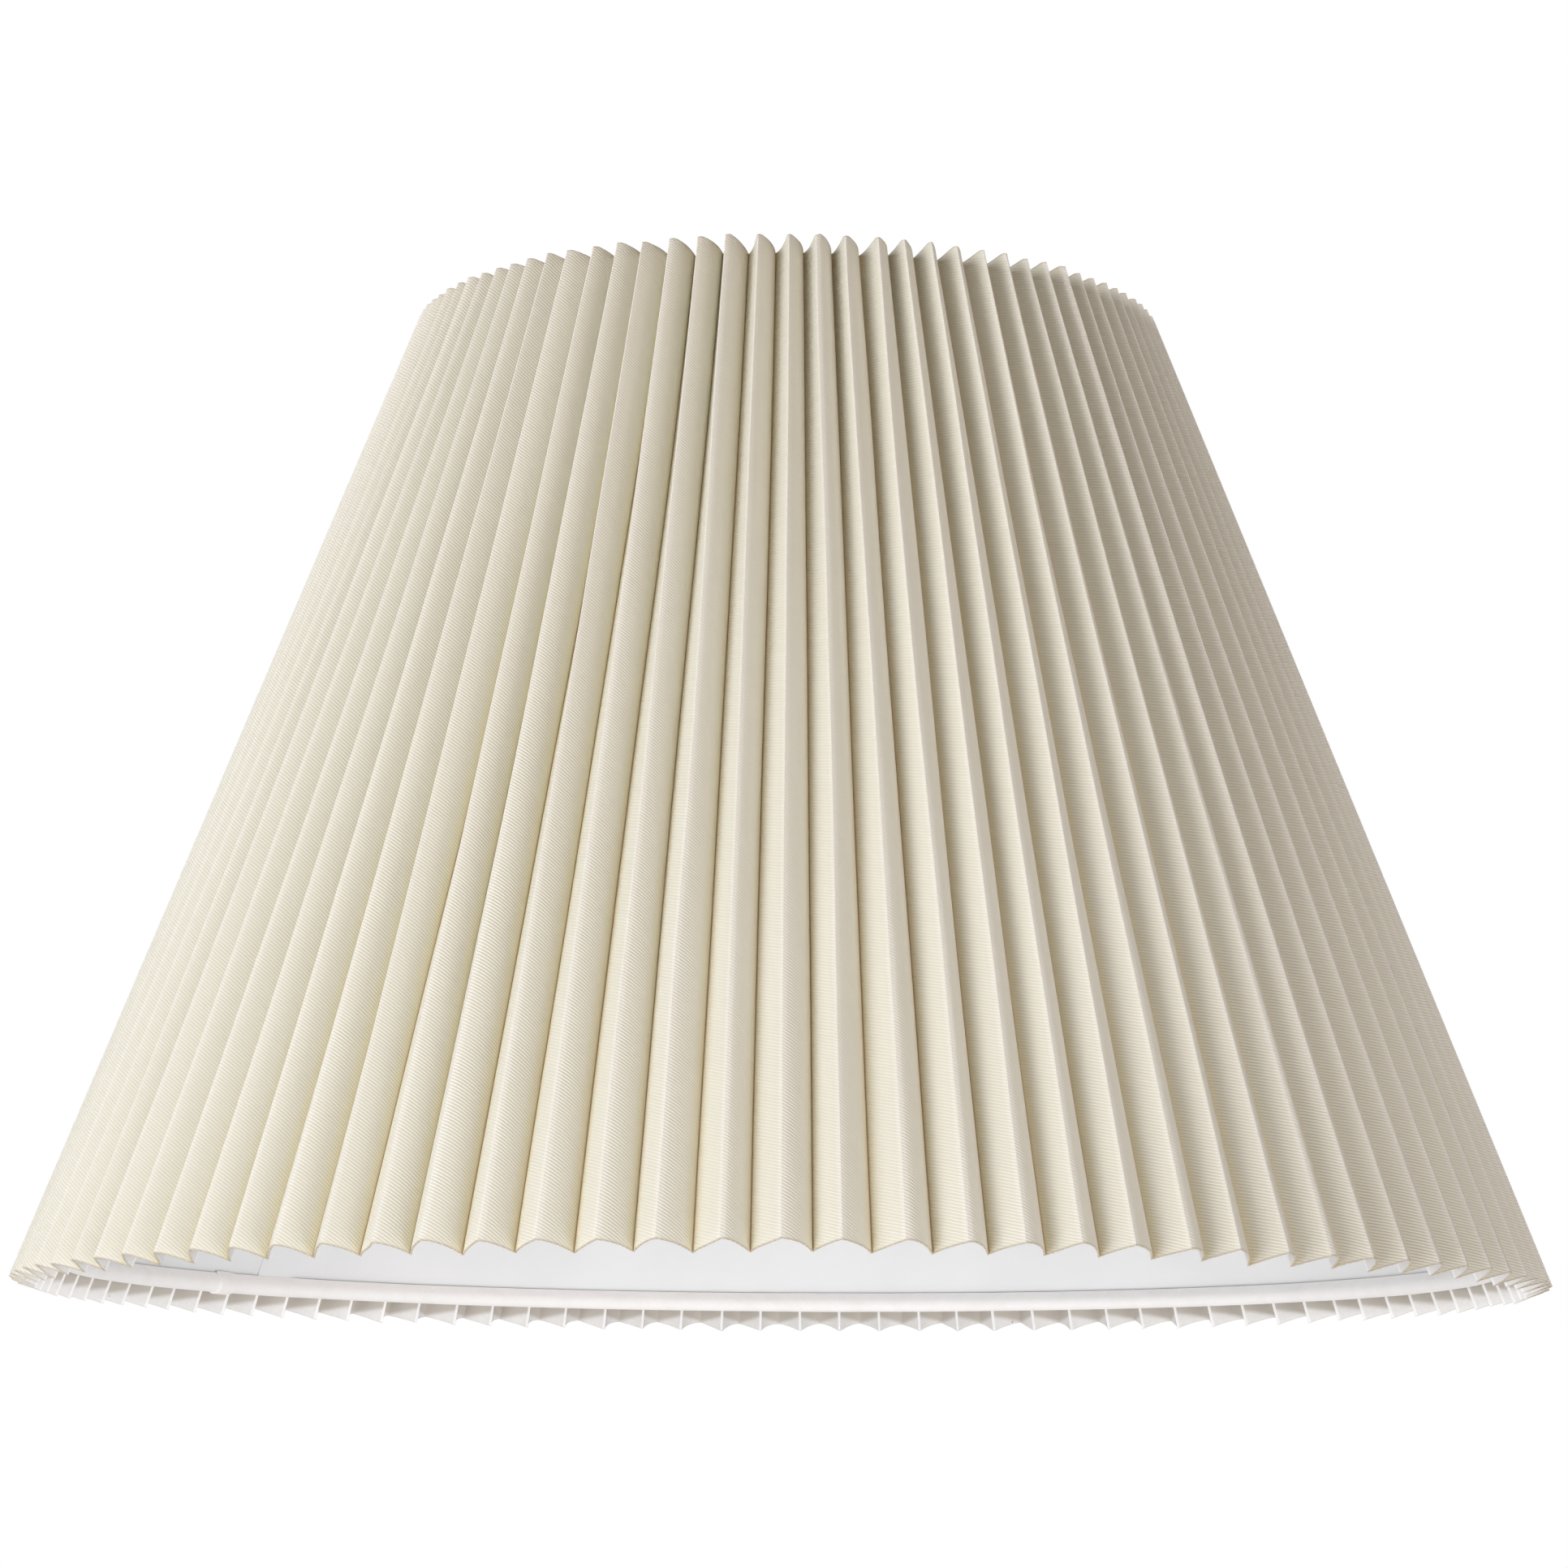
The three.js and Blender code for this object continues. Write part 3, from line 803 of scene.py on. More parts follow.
@dataclass
class CoverLength:
    """One length of the pleated cover: a thick sheet with curved faces and rounded folds."""

    name: str
    node: str
    first_fold: int
    last_fold: int
    cloth: TwillFinish
    seed: int
    pleating: Pleating = field(default_factory=Pleating)
    wall: float = 0.42 * MM
    lap_start: float = 1.3 * MM
    lap_end: float = 7.0 * MM
    lap_lift: float = 0.46 * MM
    wander: float = 0.13 * MM
    fold_error: float = 0.28 * MM
    curve_error: float = 0.07
    edge_error: float = 0.16 * MM
    corner_height: float = 0.55 * MM
    corner_width: float = 0.6 * MM
    depth_limit: float = 0.3 * MM
    edge_fade: int = 24
    fold_width: float = 0.1 * MM
    fold_arc: int = 5
    mitre_limit: float = 0.34
    curve_steps: int = 41
    curve_error_shares: tuple[float, float] = (0.35, 1.0)
    face_shares: tuple[float, ...] = (0.075, 0.13, 0.22, 0.34, 0.48, 0.62, 0.75, 0.85, 0.925)
    middle_rows: int = 22
    edge_rows: tuple[float, ...] = (0.0, 0.35 * MM, 0.9 * MM, 2.0 * MM, 4.5 * MM)

    def __post_init__(self) -> None:
        """Fixes the rows, and draws each fold's errors."""
        slant = self.pleating.slant
        ends = np.array(self.edge_rows) / slant
        middle = np.linspace(ends[-1], 1 - ends[-1], self.middle_rows)[1:-1]
        self.rows = np.concatenate([ends, middle, 1 - ends[::-1]])
        folds = 2 * self.pleating.count
        draw = np.random.default_rng(self.seed)
        self.fold_offset = draw.normal(0, self.fold_error, (folds, 2))
        self.depth_offset = draw.normal(0, self.fold_error * 0.5, (folds, 2))
        self.wave_phase = draw.uniform(0, 2 * math.pi, (folds, 3))
        self.wave_size = draw.normal(0, self.wander, (folds, 3))
        self.curve_offset = draw.normal(0, self.curve_error, (folds, 2, 4))
        self.edge_offset = draw.normal(0, self.edge_error, (folds, 2))

    def fold_line(self, fold: int) -> np.ndarray:
        """A fold's middle line, one point for each row.

        Args:
            fold: The fold.

        Returns:
            Its points.
        """
        low, high = self.pleating.fold_ends(fold)
        bottom, top = on_cylinder(*low), on_cylinder(*high)
        line = bottom + (top - bottom) * self.rows[:, None]
        azimuth = low[1] + (high[1] - low[1]) * self.rows
        key = fold % (2 * self.pleating.count)
        ease = np.stack([1 - self.rows, self.rows])
        across = (self.fold_offset[key][:, None] * ease).sum(0)
        for wave in range(3):
            turns = (2 * wave + 2) * math.pi * self.rows + self.wave_phase[key][wave]
            across = across + self.wave_size[key][wave] * np.sin(turns) / (wave + 1)
        out, up = self.pleating.wall_out
        depth = (self.depth_offset[key][:, None] * ease).sum(0)
        if fold % 2 == 0:
            outward = depth.clip(-self.depth_limit, self.depth_limit)
        else:
            outward = np.abs(depth).clip(0, self.depth_limit)
        sideways = on_cylinder(1.0, azimuth + math.pi / 2, 0.0)
        outwards = on_cylinder(out, azimuth, up)
        return line + sideways * across[:, None] + outwards * outward[:, None]

    def face_grid(self, fold: int) -> tuple[np.ndarray, np.ndarray]:
        """The middle of the cloth on the face from a fold to the next one.

        Args:
            fold: The face's first fold.

        Returns:
            The points, as shares of the face by rows, and the shares.
        """
        after_crest = fold % 2 == 0
        curve = FACE_AFTER_CREST if after_crest else FACE_BEFORE_CREST
        crest_fold, inner_fold = (fold, fold + 1) if after_crest else (fold + 1, fold)
        crest, inner = self.fold_line(crest_fold), self.fold_line(inner_fold)
        low, high = self.pleating.fold_ends(crest_fold)
        azimuth = low[1] + (high[1] - low[1]) * self.rows
        out, up = self.pleating.wall_out
        outwards = on_cylinder(out, azimuth, up)
        inward = ((inner - crest) * outwards).sum(1)[:, None] * outwards
        around = inner - crest - inward

        key = fold % (2 * self.pleating.count)
        ease = smoothstep(self.rows)[:, None]
        noise = self.curve_offset[key][0] * (1 - ease) + self.curve_offset[key][1] * ease
        handles = []
        for order, (bottom, top) in enumerate(
            ((curve.first_bottom, curve.first_top), (curve.second_bottom, curve.second_top))
        ):
            handle = np.array(bottom) * (1 - ease) + np.array(top) * ease
            error = noise[:, 2 * order : 2 * order + 2] * self.curve_error_shares
            handles.append(handle + error)
        fine = np.linspace(0, 1, self.curve_steps)[:, None, None]
        path = (
            (1 - fine) ** 3 * np.array([0.0, 1.0])
            + 3 * (1 - fine) ** 2 * fine * handles[0]
            + 3 * (1 - fine) * fine**2 * handles[1]
            + fine**3 * np.array([1.0, 0.0])
        )
        points = crest + path[..., :1] * around + (1 - path[..., 1:]) * inward
        steps = np.linalg.norm(np.diff(points, axis=0), axis=2)
        length = np.concatenate([np.zeros((1, len(self.rows))), np.cumsum(steps, axis=0)])
        length /= length[-1]

        shares = np.array([0.0, *self.face_shares, 1.0])
        if fold == self.first_fold:
            start = self.lap_start / self.pleating.face
            shares = start + (1 - start) * shares
        elif fold == self.last_fold:
            shares = shares * self.lap_end / self.pleating.face
        from_crest = shares if after_crest else 1 - shares
        grid = np.empty((len(shares), len(self.rows), 3))
        for row in range(len(self.rows)):
            for axis in range(3):
                grid[:, row, axis] = np.interp(from_crest, length[:, row], points[:, row, axis])
        return grid, shares

    def grid_normals(self, grid: np.ndarray) -> np.ndarray:
        """Outward unit normals of a face's grid."""
        along = np.gradient(grid, axis=0)
        up = np.gradient(grid, axis=1)
        return unit(np.cross(along, up))

    def lift(self, fold: int, shares: np.ndarray) -> np.ndarray:
        """How far the cloth stands off its own place, where it laps over the other length.

        Args:
            fold: The face's first fold.
            shares: Shares of the face.

        Returns:
            The lift at each share.
        """
        if fold == self.first_fold:
            return self.lap_lift * np.ones_like(shares)
        if fold == self.first_fold + 1:
            return self.lap_lift * (1 - smoothstep(shares))
        return np.zeros_like(shares)

    def layers(self) -> dict[str, np.ndarray]:
        """Builds the two surfaces of the cloth, column by column.

        Returns:
            The outer and the inner points, and each column's place along the cloth and its
            distances to folds.
        """
        faces = []
        for fold in range(self.first_fold, self.last_fold + 1):
            grid, shares = self.face_grid(fold)
            normals = self.grid_normals(grid)
            grid = grid + normals * self.lift(fold, shares)[:, None, None]
            faces.append((fold, grid, shares, normals))
        half = self.wall / 2
        outer, inner, along, to_crest, to_inner = [], [], [], [], []

        def add(outside: np.ndarray, inside: np.ndarray, fold: int, share: float) -> None:
            """Adds one column."""
            outer.append(outside)
            inner.append(inside)
            face = self.pleating.face
            along.append((fold - self.first_fold + share) * face)
            near, far = share * face, (1 - share) * face
            to_crest.append(near if fold % 2 == 0 else far)
            to_inner.append(far if fold % 2 == 0 else near)

        for index, (fold, grid, shares, normals) in enumerate(faces):
            if index == 0:
                add(grid[0] + normals[0] * half, grid[0] - normals[0] * half, fold, shares[0])
            for column in range(1, len(shares) - 1):
                offset = normals[column] * half
                add(grid[column] + offset, grid[column] - offset, fold, shares[column])
            if index + 1 == len(faces):
                add(grid[-1] + normals[-1] * half, grid[-1] - normals[-1] * half, fold, shares[-1])
                continue
            following = faces[index + 1]
            before, after = normals[-1], following[3][0]
            corner = (grid[-1] + following[1][0]) / 2
            middle = unit(before + after)
            cosine = np.clip((middle * before).sum(1, keepdims=True), self.mitre_limit, 1.0)
            mitre = middle * (half / cosine)
            is_crest = (fold + 1) % 2 == 0
            run = unit(grid[-1] - grid[-2])
            next_run = unit(following[1][1] - following[1][0])
            for step in range(self.fold_arc):
                share = step / (self.fold_arc - 1)
                turn = unit(before * (1 - share) + after * share)
                slide = (share - 0.5) * self.fold_width
                small = (run if share < 0.5 else next_run) * slide
                if is_crest:
                    add(corner + turn * half, corner - mitre + small, fold, 1.0)
                else:
                    add(corner + mitre + small, corner - turn * half, fold, 1.0)
                along[-1] += slide
        return {
            "outer": np.array(outer),
            "inner": np.array(inner),
            "along": np.array(along),
            "crest": np.array(to_crest),
            "valley": np.array(to_inner),
        }

    def trim_ends(self, data: dict[str, np.ndarray]) -> np.ndarray:
        """Moves the cut edges: unevenly everywhere, and rounded off at the top of each crest.

        Args:
            data: What layers() gives. Its points are changed.

        Returns:
            How far each point is from a cut edge, by columns and rows.
        """
        slant = self.pleating.slant
        count = 2 * self.pleating.count
        position = data["along"] / self.pleating.face + self.first_fold
        folds = np.arange(math.floor(position.min()) - 1, math.ceil(position.max()) + 2)
        moves = [np.interp(position, folds, self.edge_offset[folds % count, end]) for end in (0, 1)]
        corner = self.corner_height * np.exp(-((data["crest"] / self.corner_width) ** 2))
        low = (moves[0] / slant)[:, None]
        high = ((moves[1] - corner) / slant)[:, None]
        rows = self.rows[None, :]
        target = rows + low * (1 - rows) ** self.edge_fade + high * rows**self.edge_fade
        for layer in ("outer", "inner"):
            points = data[layer]
            moved = np.empty_like(points)
            for column in range(len(points)):
                for axis in range(3):
                    source = points[column, :, axis]
                    moved[column, :, axis] = np.interp(target[column], self.rows, source)
                    for row, other in ((0, 1), (-1, -2)):
                        slope = (source[row] - source[other]) / (self.rows[row] - self.rows[other])
                        past = target[column, row] - self.rows[row]
                        moved[column, row, axis] = source[row] + slope * past
            data[layer] = moved
        return np.minimum(self.rows, 1 - self.rows)[None, :] * slant + np.zeros_like(target)

    def build(self, backing: bpy.types.Material, cut_edge: bpy.types.Material) -> bpy.types.Object:
        """Builds the length of cloth.

        Args:
            backing: The material of its inside.
            cut_edge: The material of its cut edges.

        Returns:
            The piece.
        """
        data = self.layers()
        edge = self.trim_ends(data)
        columns, rows = data["outer"].shape[:2]
        total = columns * rows
        places = np.concatenate([data["outer"].reshape(-1, 3), data["inner"].reshape(-1, 3)])
        outer_faces = grid_faces(columns, rows, wraps=False)[:, ::-1]
        inner_faces = outer_faces[:, ::-1] + total
        outline = np.concatenate(
            [
                np.arange(columns) * rows,
                (columns - 1) * rows + np.arange(1, rows),
                np.arange(columns - 2, -1, -1) * rows + rows - 1,
                np.arange(rows - 2, 0, -1),
            ]
        )
        following = np.roll(outline, -1)
        rim = np.stack([outline, outline + total, following + total, following], axis=-1)
        piece = mesh_piece(self.name, places, np.concatenate([outer_faces, inner_faces, rim]))

        mesh = piece.data
        counts = [len(outer_faces), len(inner_faces), len(rim)]
        kinds = np.repeat([0, 1, 2], counts).astype(np.int32)
        for material in (self.cloth.material(), backing, cut_edge):
            mesh.materials.append(material)
        mesh.polygons.foreach_set("material_index", kinds)
        mesh.polygons.foreach_set("use_smooth", np.ones(len(kinds), bool))
        up = np.broadcast_to(self.rows * self.pleating.slant, (columns, rows))
        along = np.broadcast_to(data["along"][:, None], (columns, rows))
        flat = np.stack([along, up], axis=-1).reshape(-1, 2)
        flat = np.concatenate([flat, flat])
        corners = np.empty(len(mesh.loops), np.int32)
        mesh.loops.foreach_get("vertex_index", corners)
        layer = mesh.uv_layers.new(name=CLOTH_MAP)
        layer.data.foreach_set("uv", flat[corners].astype(np.float32).ravel())
        for name, values in (
            (CREST_DISTANCE, np.broadcast_to(data["crest"][:, None], (columns, rows))),
            (VALLEY_DISTANCE, np.broadcast_to(data["valley"][:, None], (columns, rows))),
            (EDGE_DISTANCE, edge),
        ):
            point_attribute(piece, name, np.tile(values.ravel(), 2))
        settle(piece, 50.0)

        hand_over(piece, self.node)
        return piece


# ---- Liner, trims and rings -----------------------------------------------------------------------


@dataclass
class ConeWall:
    """The slanted line that the liner, the rings and their trims lie on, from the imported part."""

    wire: float = 2.5 * MM
    gap: float = 0.3 * MM

    def __post_init__(self) -> None:
        """Finds the centres of both rings."""
        self.bottom = self.ring_centre("bottom_ring")
        self.top = self.ring_centre("top_ring")
        self.length = (self.top - self.bottom).length
        self.up = (self.top - self.bottom).normalized()
        self.out = Vector((self.up[1], -self.up[0]))

    def ring_centre(self, node: str) -> Vector:
        """The centre of a ring's wire, as (radius, height)."""
        low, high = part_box(node)
        return Vector(((high.x - low.x) / 2 - self.wire / 2, (low.z + high.z) / 2))


@dataclass
class Liner:
    """A sheet rolled into a cone, lapped along one line."""

    wall: ConeWall
    sheet: float = 0.5 * MM
    setback: float = 0.7 * MM
    lap: float = 8.0 * MM
    seam_degrees: float = -129.0
    steps: int = 288
    rows: int = 14
    dent: float = 0.06 * MM
    lap_gap: float = 0.06 * MM
    lap_run: float = 4.0 * MM
    seed: int = 31

    def build(self) -> bpy.types.Object:
        """Builds the liner.

        Returns:
            The piece.
        """
        offset = self.wall.wire / 2 + self.wall.gap + self.sheet / 2
        foot = self.wall.bottom + self.wall.out * offset + self.wall.up * self.setback
        head = self.wall.top + self.wall.out * offset - self.wall.up * self.setback
        seam = math.radians(self.seam_degrees)
        shares = np.linspace(0, 1, self.rows)
        radius = foot[0] + (head[0] - foot[0]) * shares
        height = foot[1] + (head[1] - foot[1]) * shares
        turn = 2 * math.pi
        over = self.lap / radius
        around = np.linspace(0, 1, self.steps)[:, None] * (turn + over)[None, :] + seam
        past = (around - seam - turn + self.lap / radius[None, :]) * radius[None, :]
        inset = smoothstep(past / self.lap_run) * (self.sheet + self.lap_gap)
        draw = np.random.default_rng(self.seed)
        phase = draw.uniform(0, turn, 4)
        waves = sum(np.sin((k + 2) * around + phase[k]) / (k + 1) for k in range(4))
        bulge = self.dent * waves * np.sin(math.pi * shares)[None, :]
        places = on_cylinder(radius[None, :] - inset + bulge, around, height[None, :])
        faces = grid_faces(self.steps, self.rows, wraps=False)[:, ::-1]
        piece = mesh_piece("liner_sheet", places.reshape(-1, 3), faces)
        apply_modifier(piece, "SOLIDIFY", thickness=self.sheet, offset=0.0, use_even_offset=True)
        piece.data.materials.append(StyreneFinish().material())
        settle(piece, 40.0)
        hand_over(piece, "liner")
        return piece


@dataclass
class RolledTrim:
    """Tape rolled round a ring and the liner's edge, its end lapped over its start."""

    name: str
    node: str
    centre: Vector
    wall: ConeWall
    towards_liner: float
    rests_on: tuple[str, ...]
    seed: int
    tape: float = 0.6 * MM
    lip_inside: float = 3.0 * MM
    lip_outside: float = 2.7 * MM
    lap: float = 7.0 * MM
    seam_degrees: float = -123.0
    liner_sheet: float = 0.5 * MM
    steps: int = 420
    lumps: float = 0.05 * MM
    lip_taper: float = 2.2 * MM
    lap_swell: float = 0.55 * MM
    lap_run: float = 1.5 * MM
    lip_thinness: float = 0.2
    lip_steps: int = 5
    inner_steps: int = 12
    outer_steps: int = 14
    lip_end_shares: tuple[float, ...] = (0.3, 0.65, 1.0)

    def path(self) -> list[tuple[float, float]]:
        """The middle of the tape round the ring's centre: it slopes from the liner on to the ring.

        Returns:
            Points, as (out of the wall, towards the liner).
        """
        ring = self.wall.wire / 2
        gap = self.wall.gap
        inner = ring + gap + self.tape / 2
        liner_inside = ring + gap
        outer = liner_inside + self.liner_sheet + gap + self.tape / 2
        lip = Vector((liner_inside - gap - self.tape / 2, self.lip_inside))
        start = math.atan2(lip.y, lip.x) + math.acos(inner / lip.length)
        touch = Vector((math.cos(start), math.sin(start))) * inner
        points = [tuple(lip.lerp(touch, step / self.lip_steps)) for step in range(self.lip_steps)]
        for step in range(self.inner_steps + 1):
            angle = start + (math.pi - start) * step / self.inner_steps
            points.append((inner * math.cos(angle), inner * math.sin(angle)))
        radius = (outer + inner) / 2
        for step in range(1, self.outer_steps + 1):
            angle = math.pi * (1 + step / self.outer_steps)
            points.append((outer - radius + radius * math.cos(angle), radius * math.sin(angle)))
        points += [(outer, self.lip_outside * share) for share in self.lip_end_shares]
        return points

    def section(self, swell: np.ndarray) -> np.ndarray:
        """The tape's closed section, with lips that thin out to soft edges.

        Args:
            swell: How far each point of its middle stands off the ring.

        Returns:
            Its points: one side of the tape, and then the other side backwards.
        """
        plain = np.array(self.path())
        away = unit(plain - plain.mean(0))
        middle = plain + away * swell[:, None]
        run = unit(np.gradient(middle, axis=0))
        across = np.stack([-run[:, 1], run[:, 0]], axis=1)
        steps = np.linalg.norm(np.diff(middle, axis=0), axis=1)
        length = np.concatenate([[0.0], np.cumsum(steps)])
        lip = np.minimum(length, length[-1] - length)
        thickness = self.lip_thinness + (1 - self.lip_thinness) * smoothstep(lip / self.lip_taper)
        half = self.tape / 2 * thickness
        side = across * half[:, None]
        return np.concatenate([middle + side, (middle - side)[::-1]])

    def build(self) -> bpy.types.Object:
        """Builds the trim.

        Returns:
            The piece.
        """
        seam = math.radians(self.seam_degrees)
        plain = np.array(self.path())
        reach = np.clip(plain[:, 0] / plain[:, 0].max(), 0, 1)
        free = 1 - reach**2
        draw = np.random.default_rng(self.seed)
        phase = draw.uniform(0, 2 * math.pi, (6, 2))
        turn = 2 * math.pi + self.lap / self.centre[0]
        columns = []
        for azimuth in seam + np.linspace(0, turn, self.steps):
            past = (azimuth - seam - 2 * math.pi) * self.centre[0]
            lapped = float(smoothstep(np.array((past + self.lap_run) / self.lap_run)))
            lump = sum(np.sin((k * 7 + 5) * azimuth + phase[k, 0]) / (k + 1.5) for k in range(6))
            swell = self.lumps * lump + lapped * self.lap_swell
            points = self.section(swell * free)
            radius = self.centre[0] + points[:, 0] * self.wall.out[0]
            radius = radius + points[:, 1] * self.towards_liner * self.wall.up[0]
            height = self.centre[1] + points[:, 0] * self.wall.out[1]
            height = height + points[:, 1] * self.towards_liner * self.wall.up[1]
            columns.append(on_cylinder(radius, azimuth, height))
        places = np.array(columns)
        count = places.shape[1]
        faces = grid_faces(len(places), count, wraps=True)
        near = np.arange(count // 2 - 1)
        start = np.stack([near, near + 1, count - 2 - near, count - 1 - near], axis=-1)
        end = start[:, ::-1] + (len(places) - 1) * count
        faces = np.concatenate([faces, start, end])
        piece = mesh_piece(self.name, places.reshape(-1, 3), faces)
        select_only(piece)
        bpy.ops.object.mode_set(mode="EDIT")
        bpy.ops.mesh.select_all(action="SELECT")
        bpy.ops.mesh.normals_make_consistent(inside=False)
        bpy.ops.object.mode_set(mode="OBJECT")
        piece.data.materials.append(TapeFinish(name=f"{self.name}_tape").material())
        settle(piece, 55.0)
        hand_over(piece, self.node)
        return piece


@dataclass
class WireRing:
    """A ring of wire, closed by a butt weld."""

    name: str
    node: str
    centre: Vector
    wire: float
    weld_degrees: float = 150.0
    weld_width: float = 3.0 * MM
    weld_swell: float = 0.12
    major_steps: int = 240
    minor_steps: int = 20

    def build(self, steel: bpy.types.Material) -> bpy.types.Object:
        """Builds the ring.

        Args:
            steel: Its material.

        Returns:
            The piece.
        """
        bpy.ops.object.select_all(action="DESELECT")
        bpy.ops.mesh.primitive_torus_add(
            location=(0, 0, self.centre[1]),
            major_radius=self.centre[0],
            minor_radius=self.wire / 2,
            major_segments=self.major_steps,
            minor_segments=self.minor_steps,
        )
        piece = new_piece(self.name)
        settle(piece, None)
        places = vertex_places(piece)
        azimuth = np.arctan2(places[:, 0], -places[:, 1])
        away = np.angle(np.exp(1j * (azimuth - math.radians(self.weld_degrees)))) * self.centre[0]
        middle = on_cylinder(np.array(self.centre[0]), azimuth, np.array(self.centre[1]))
        swell = 1 + self.weld_swell * np.exp(-((away / self.weld_width) ** 2))
        set_places(piece, middle + (places - middle) * swell[:, None])
        piece.data.materials.append(steel)
        hand_over(piece, self.node)
        log.info("%s: wire ring of radius %.4f m", self.name, self.centre[0])
        return piece


# ---- Spider ---------------------------------------------------------------------------------------


@dataclass
class Spider:
    """Three wire arms from the top ring down to a washer, with flattened, welded feet."""

    wall: ConeWall
    first_degrees: float = 60.0
    count: int = 3
    wire: float = 2.5 * MM
    level_run: float = 22 * MM
    foot_run: float = 14 * MM
    drop: float = 13 * MM
    bend_share: float = 0.25
    washer_radius: float = 13 * MM
    hole_radius: float = 5.5 * MM
    washer_wall: float = 1.5 * MM
    gap: float = 0.3 * MM
    foot_flat: float = 0.8
    foot_flat_reach: float = 9 * MM
    foot_flat_run: float = 6 * MM
    foot_spread: float = 0.18
    hole_rim: float = 1.6 * MM
    bend_steps: int = 8

    def route(self) -> list[tuple[float, float]]:
        """The corners of an arm's middle line, as (radius, height)."""
        ring = self.wall.top
        start = ring[0] - self.wall.wire / 2 - self.gap * 0.5
        foot_end = (self.washer_radius + self.hole_radius) / 2
        foot_start = foot_end + self.foot_run
        level_end = start - self.level_run
        low = ring[1] - self.drop
        return [(start, ring[1]), (level_end, ring[1]), (foot_start, low), (foot_end, low)]

    def arm(self, index: int, steel: bpy.types.Material) -> bpy.types.Object:
        """Builds one arm.

        Args:
            index: Which arm, from 0.
            steel: Its material.

        Returns:
            The piece.
        """
        azimuth = math.radians(self.first_degrees) + index * 2 * math.pi / self.count
        corners = self.route()
        bpy.ops.object.select_all(action="DESELECT")
        bpy.ops.curve.primitive_nurbs_path_add()
        piece = new_piece(f"spider_wire_{index + 1}")
        curve = piece.data
        curve.splines.clear()
        spline = curve.splines.new("POLY")
        points = self.rounded(corners)
        spline.points.add(len(points) - 1)
        for point, (radius, height) in zip(spline.points, points):
            point.co = (radius * math.sin(azimuth), -radius * math.cos(azimuth), height, 1.0)
        curve.dimensions = "3D"
        curve.bevel_depth = self.wire / 2
        curve.bevel_resolution = 5
        curve.use_fill_caps = True
        select_only(piece)
        bpy.ops.object.convert(target="MESH")
        piece = new_piece(f"spider_wire_{index + 1}")
        settle(piece, 50.0)

        places = vertex_places(piece)
        radius = np.hypot(places[:, 0], places[:, 1])
        foot_end = corners[3][0]
        share = smoothstep((foot_end + self.foot_flat_reach - radius) / self.foot_flat_run)
        low = corners[3][1]
        lift = (places[:, 2] - low) * (1 - (1 - self.foot_flat) * share)
        near_foot = radius < foot_end + self.foot_flat_reach + 1 * MM
        places[:, 2] = np.where(near_foot, low + lift, places[:, 2])
        side = np.array([math.cos(azimuth), math.sin(azimuth)])
        sideways = places[:, :2] @ side
        places[:, :2] += np.outer(sideways * self.foot_spread * share, side)
        set_places(piece, places)
        soften(piece, 0.25 * MM, 2)
        settle(piece, 45.0)
        piece.data.materials.append(steel)
        hand_over(piece, f"spider_arm_{index + 1}")
        log.info("%s: at %.0f degrees", piece.name, math.degrees(azimuth))
        return piece

    def rounded(self, corners: list[tuple[float, float]]) -> list[tuple[float, float]]:
        """A route with its two bends rounded.

        Args:
            corners: The corners of the route.

        Returns:
            Its points.
        """
        bend = (corners[1][0] - corners[2][0]) * self.bend_share
        points = [corners[0], ((corners[0][0] + corners[1][0]) / 2, corners[0][1])]
        for before, corner, after in zip(corners, corners[1:], corners[2:]):
            entry = Vector(corner) + (Vector(before) - Vector(corner)).normalized() * bend
            leave = Vector(corner) + (Vector(after) - Vector(corner)).normalized() * bend
            for step in range(self.bend_steps + 1):
                share = step / self.bend_steps
                first = entry.lerp(Vector(corner), share)
                second = Vector(corner).lerp(leave, share)
                points.append(tuple(first.lerp(second, share)))
        points.append(corners[3])
        return points

    def washer(self, steel: bpy.types.Material) -> bpy.types.Object:
        """Builds the washer, with a hole through it and rounded edges.

        Args:
            steel: Its material.

        Returns:
            The piece.
        """
        low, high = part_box("fitter_washer")
        bpy.ops.object.select_all(action="DESELECT")
        bpy.ops.mesh.primitive_cylinder_add(
            vertices=96,
            radius=self.washer_radius,
            depth=high.z - low.z,
            location=(0, 0, (high.z + low.z) / 2),
        )
        piece = new_piece("spider_washer")
        settle(piece, 40.0)
        bpy.ops.object.mode_set(mode="EDIT")
        bpy.ops.mesh.select_mode(type="FACE")
        bpy.ops.mesh.select_all(action="DESELECT")
        bpy.ops.object.mode_set(mode="OBJECT")
        for polygon in piece.data.polygons:
            polygon.select = abs(polygon.normal.z) > 0.9
        bpy.ops.object.mode_set(mode="EDIT")
        bpy.ops.mesh.inset(thickness=self.washer_radius - self.hole_radius - self.hole_rim)
        bpy.ops.mesh.inset(thickness=self.hole_rim)
        bpy.ops.mesh.bridge_edge_loops()
        bpy.ops.mesh.select_all(action="SELECT")
        bpy.ops.mesh.remove_doubles(threshold=0.001 * MM)
        bpy.ops.mesh.normals_make_consistent(inside=False)
        bpy.ops.object.mode_set(mode="OBJECT")
        soften(piece, 0.22 * MM, 3)
        settle(piece, 40.0)
        piece.data.materials.append(steel)
        hand_over(piece, "fitter_washer")
        log.info("spider_washer: radius %.4f m", self.washer_radius)
        return piece

    def build(self, steel: bpy.types.Material) -> list[bpy.types.Object]:
        """Builds the arms and the washer.

        Args:
            steel: Their material.

        Returns:
            The pieces.
        """
        return [self.arm(index, steel) for index in range(self.count)] + [self.washer(steel)]


# ---- Studio ---------------------------------------------------------------------------------------


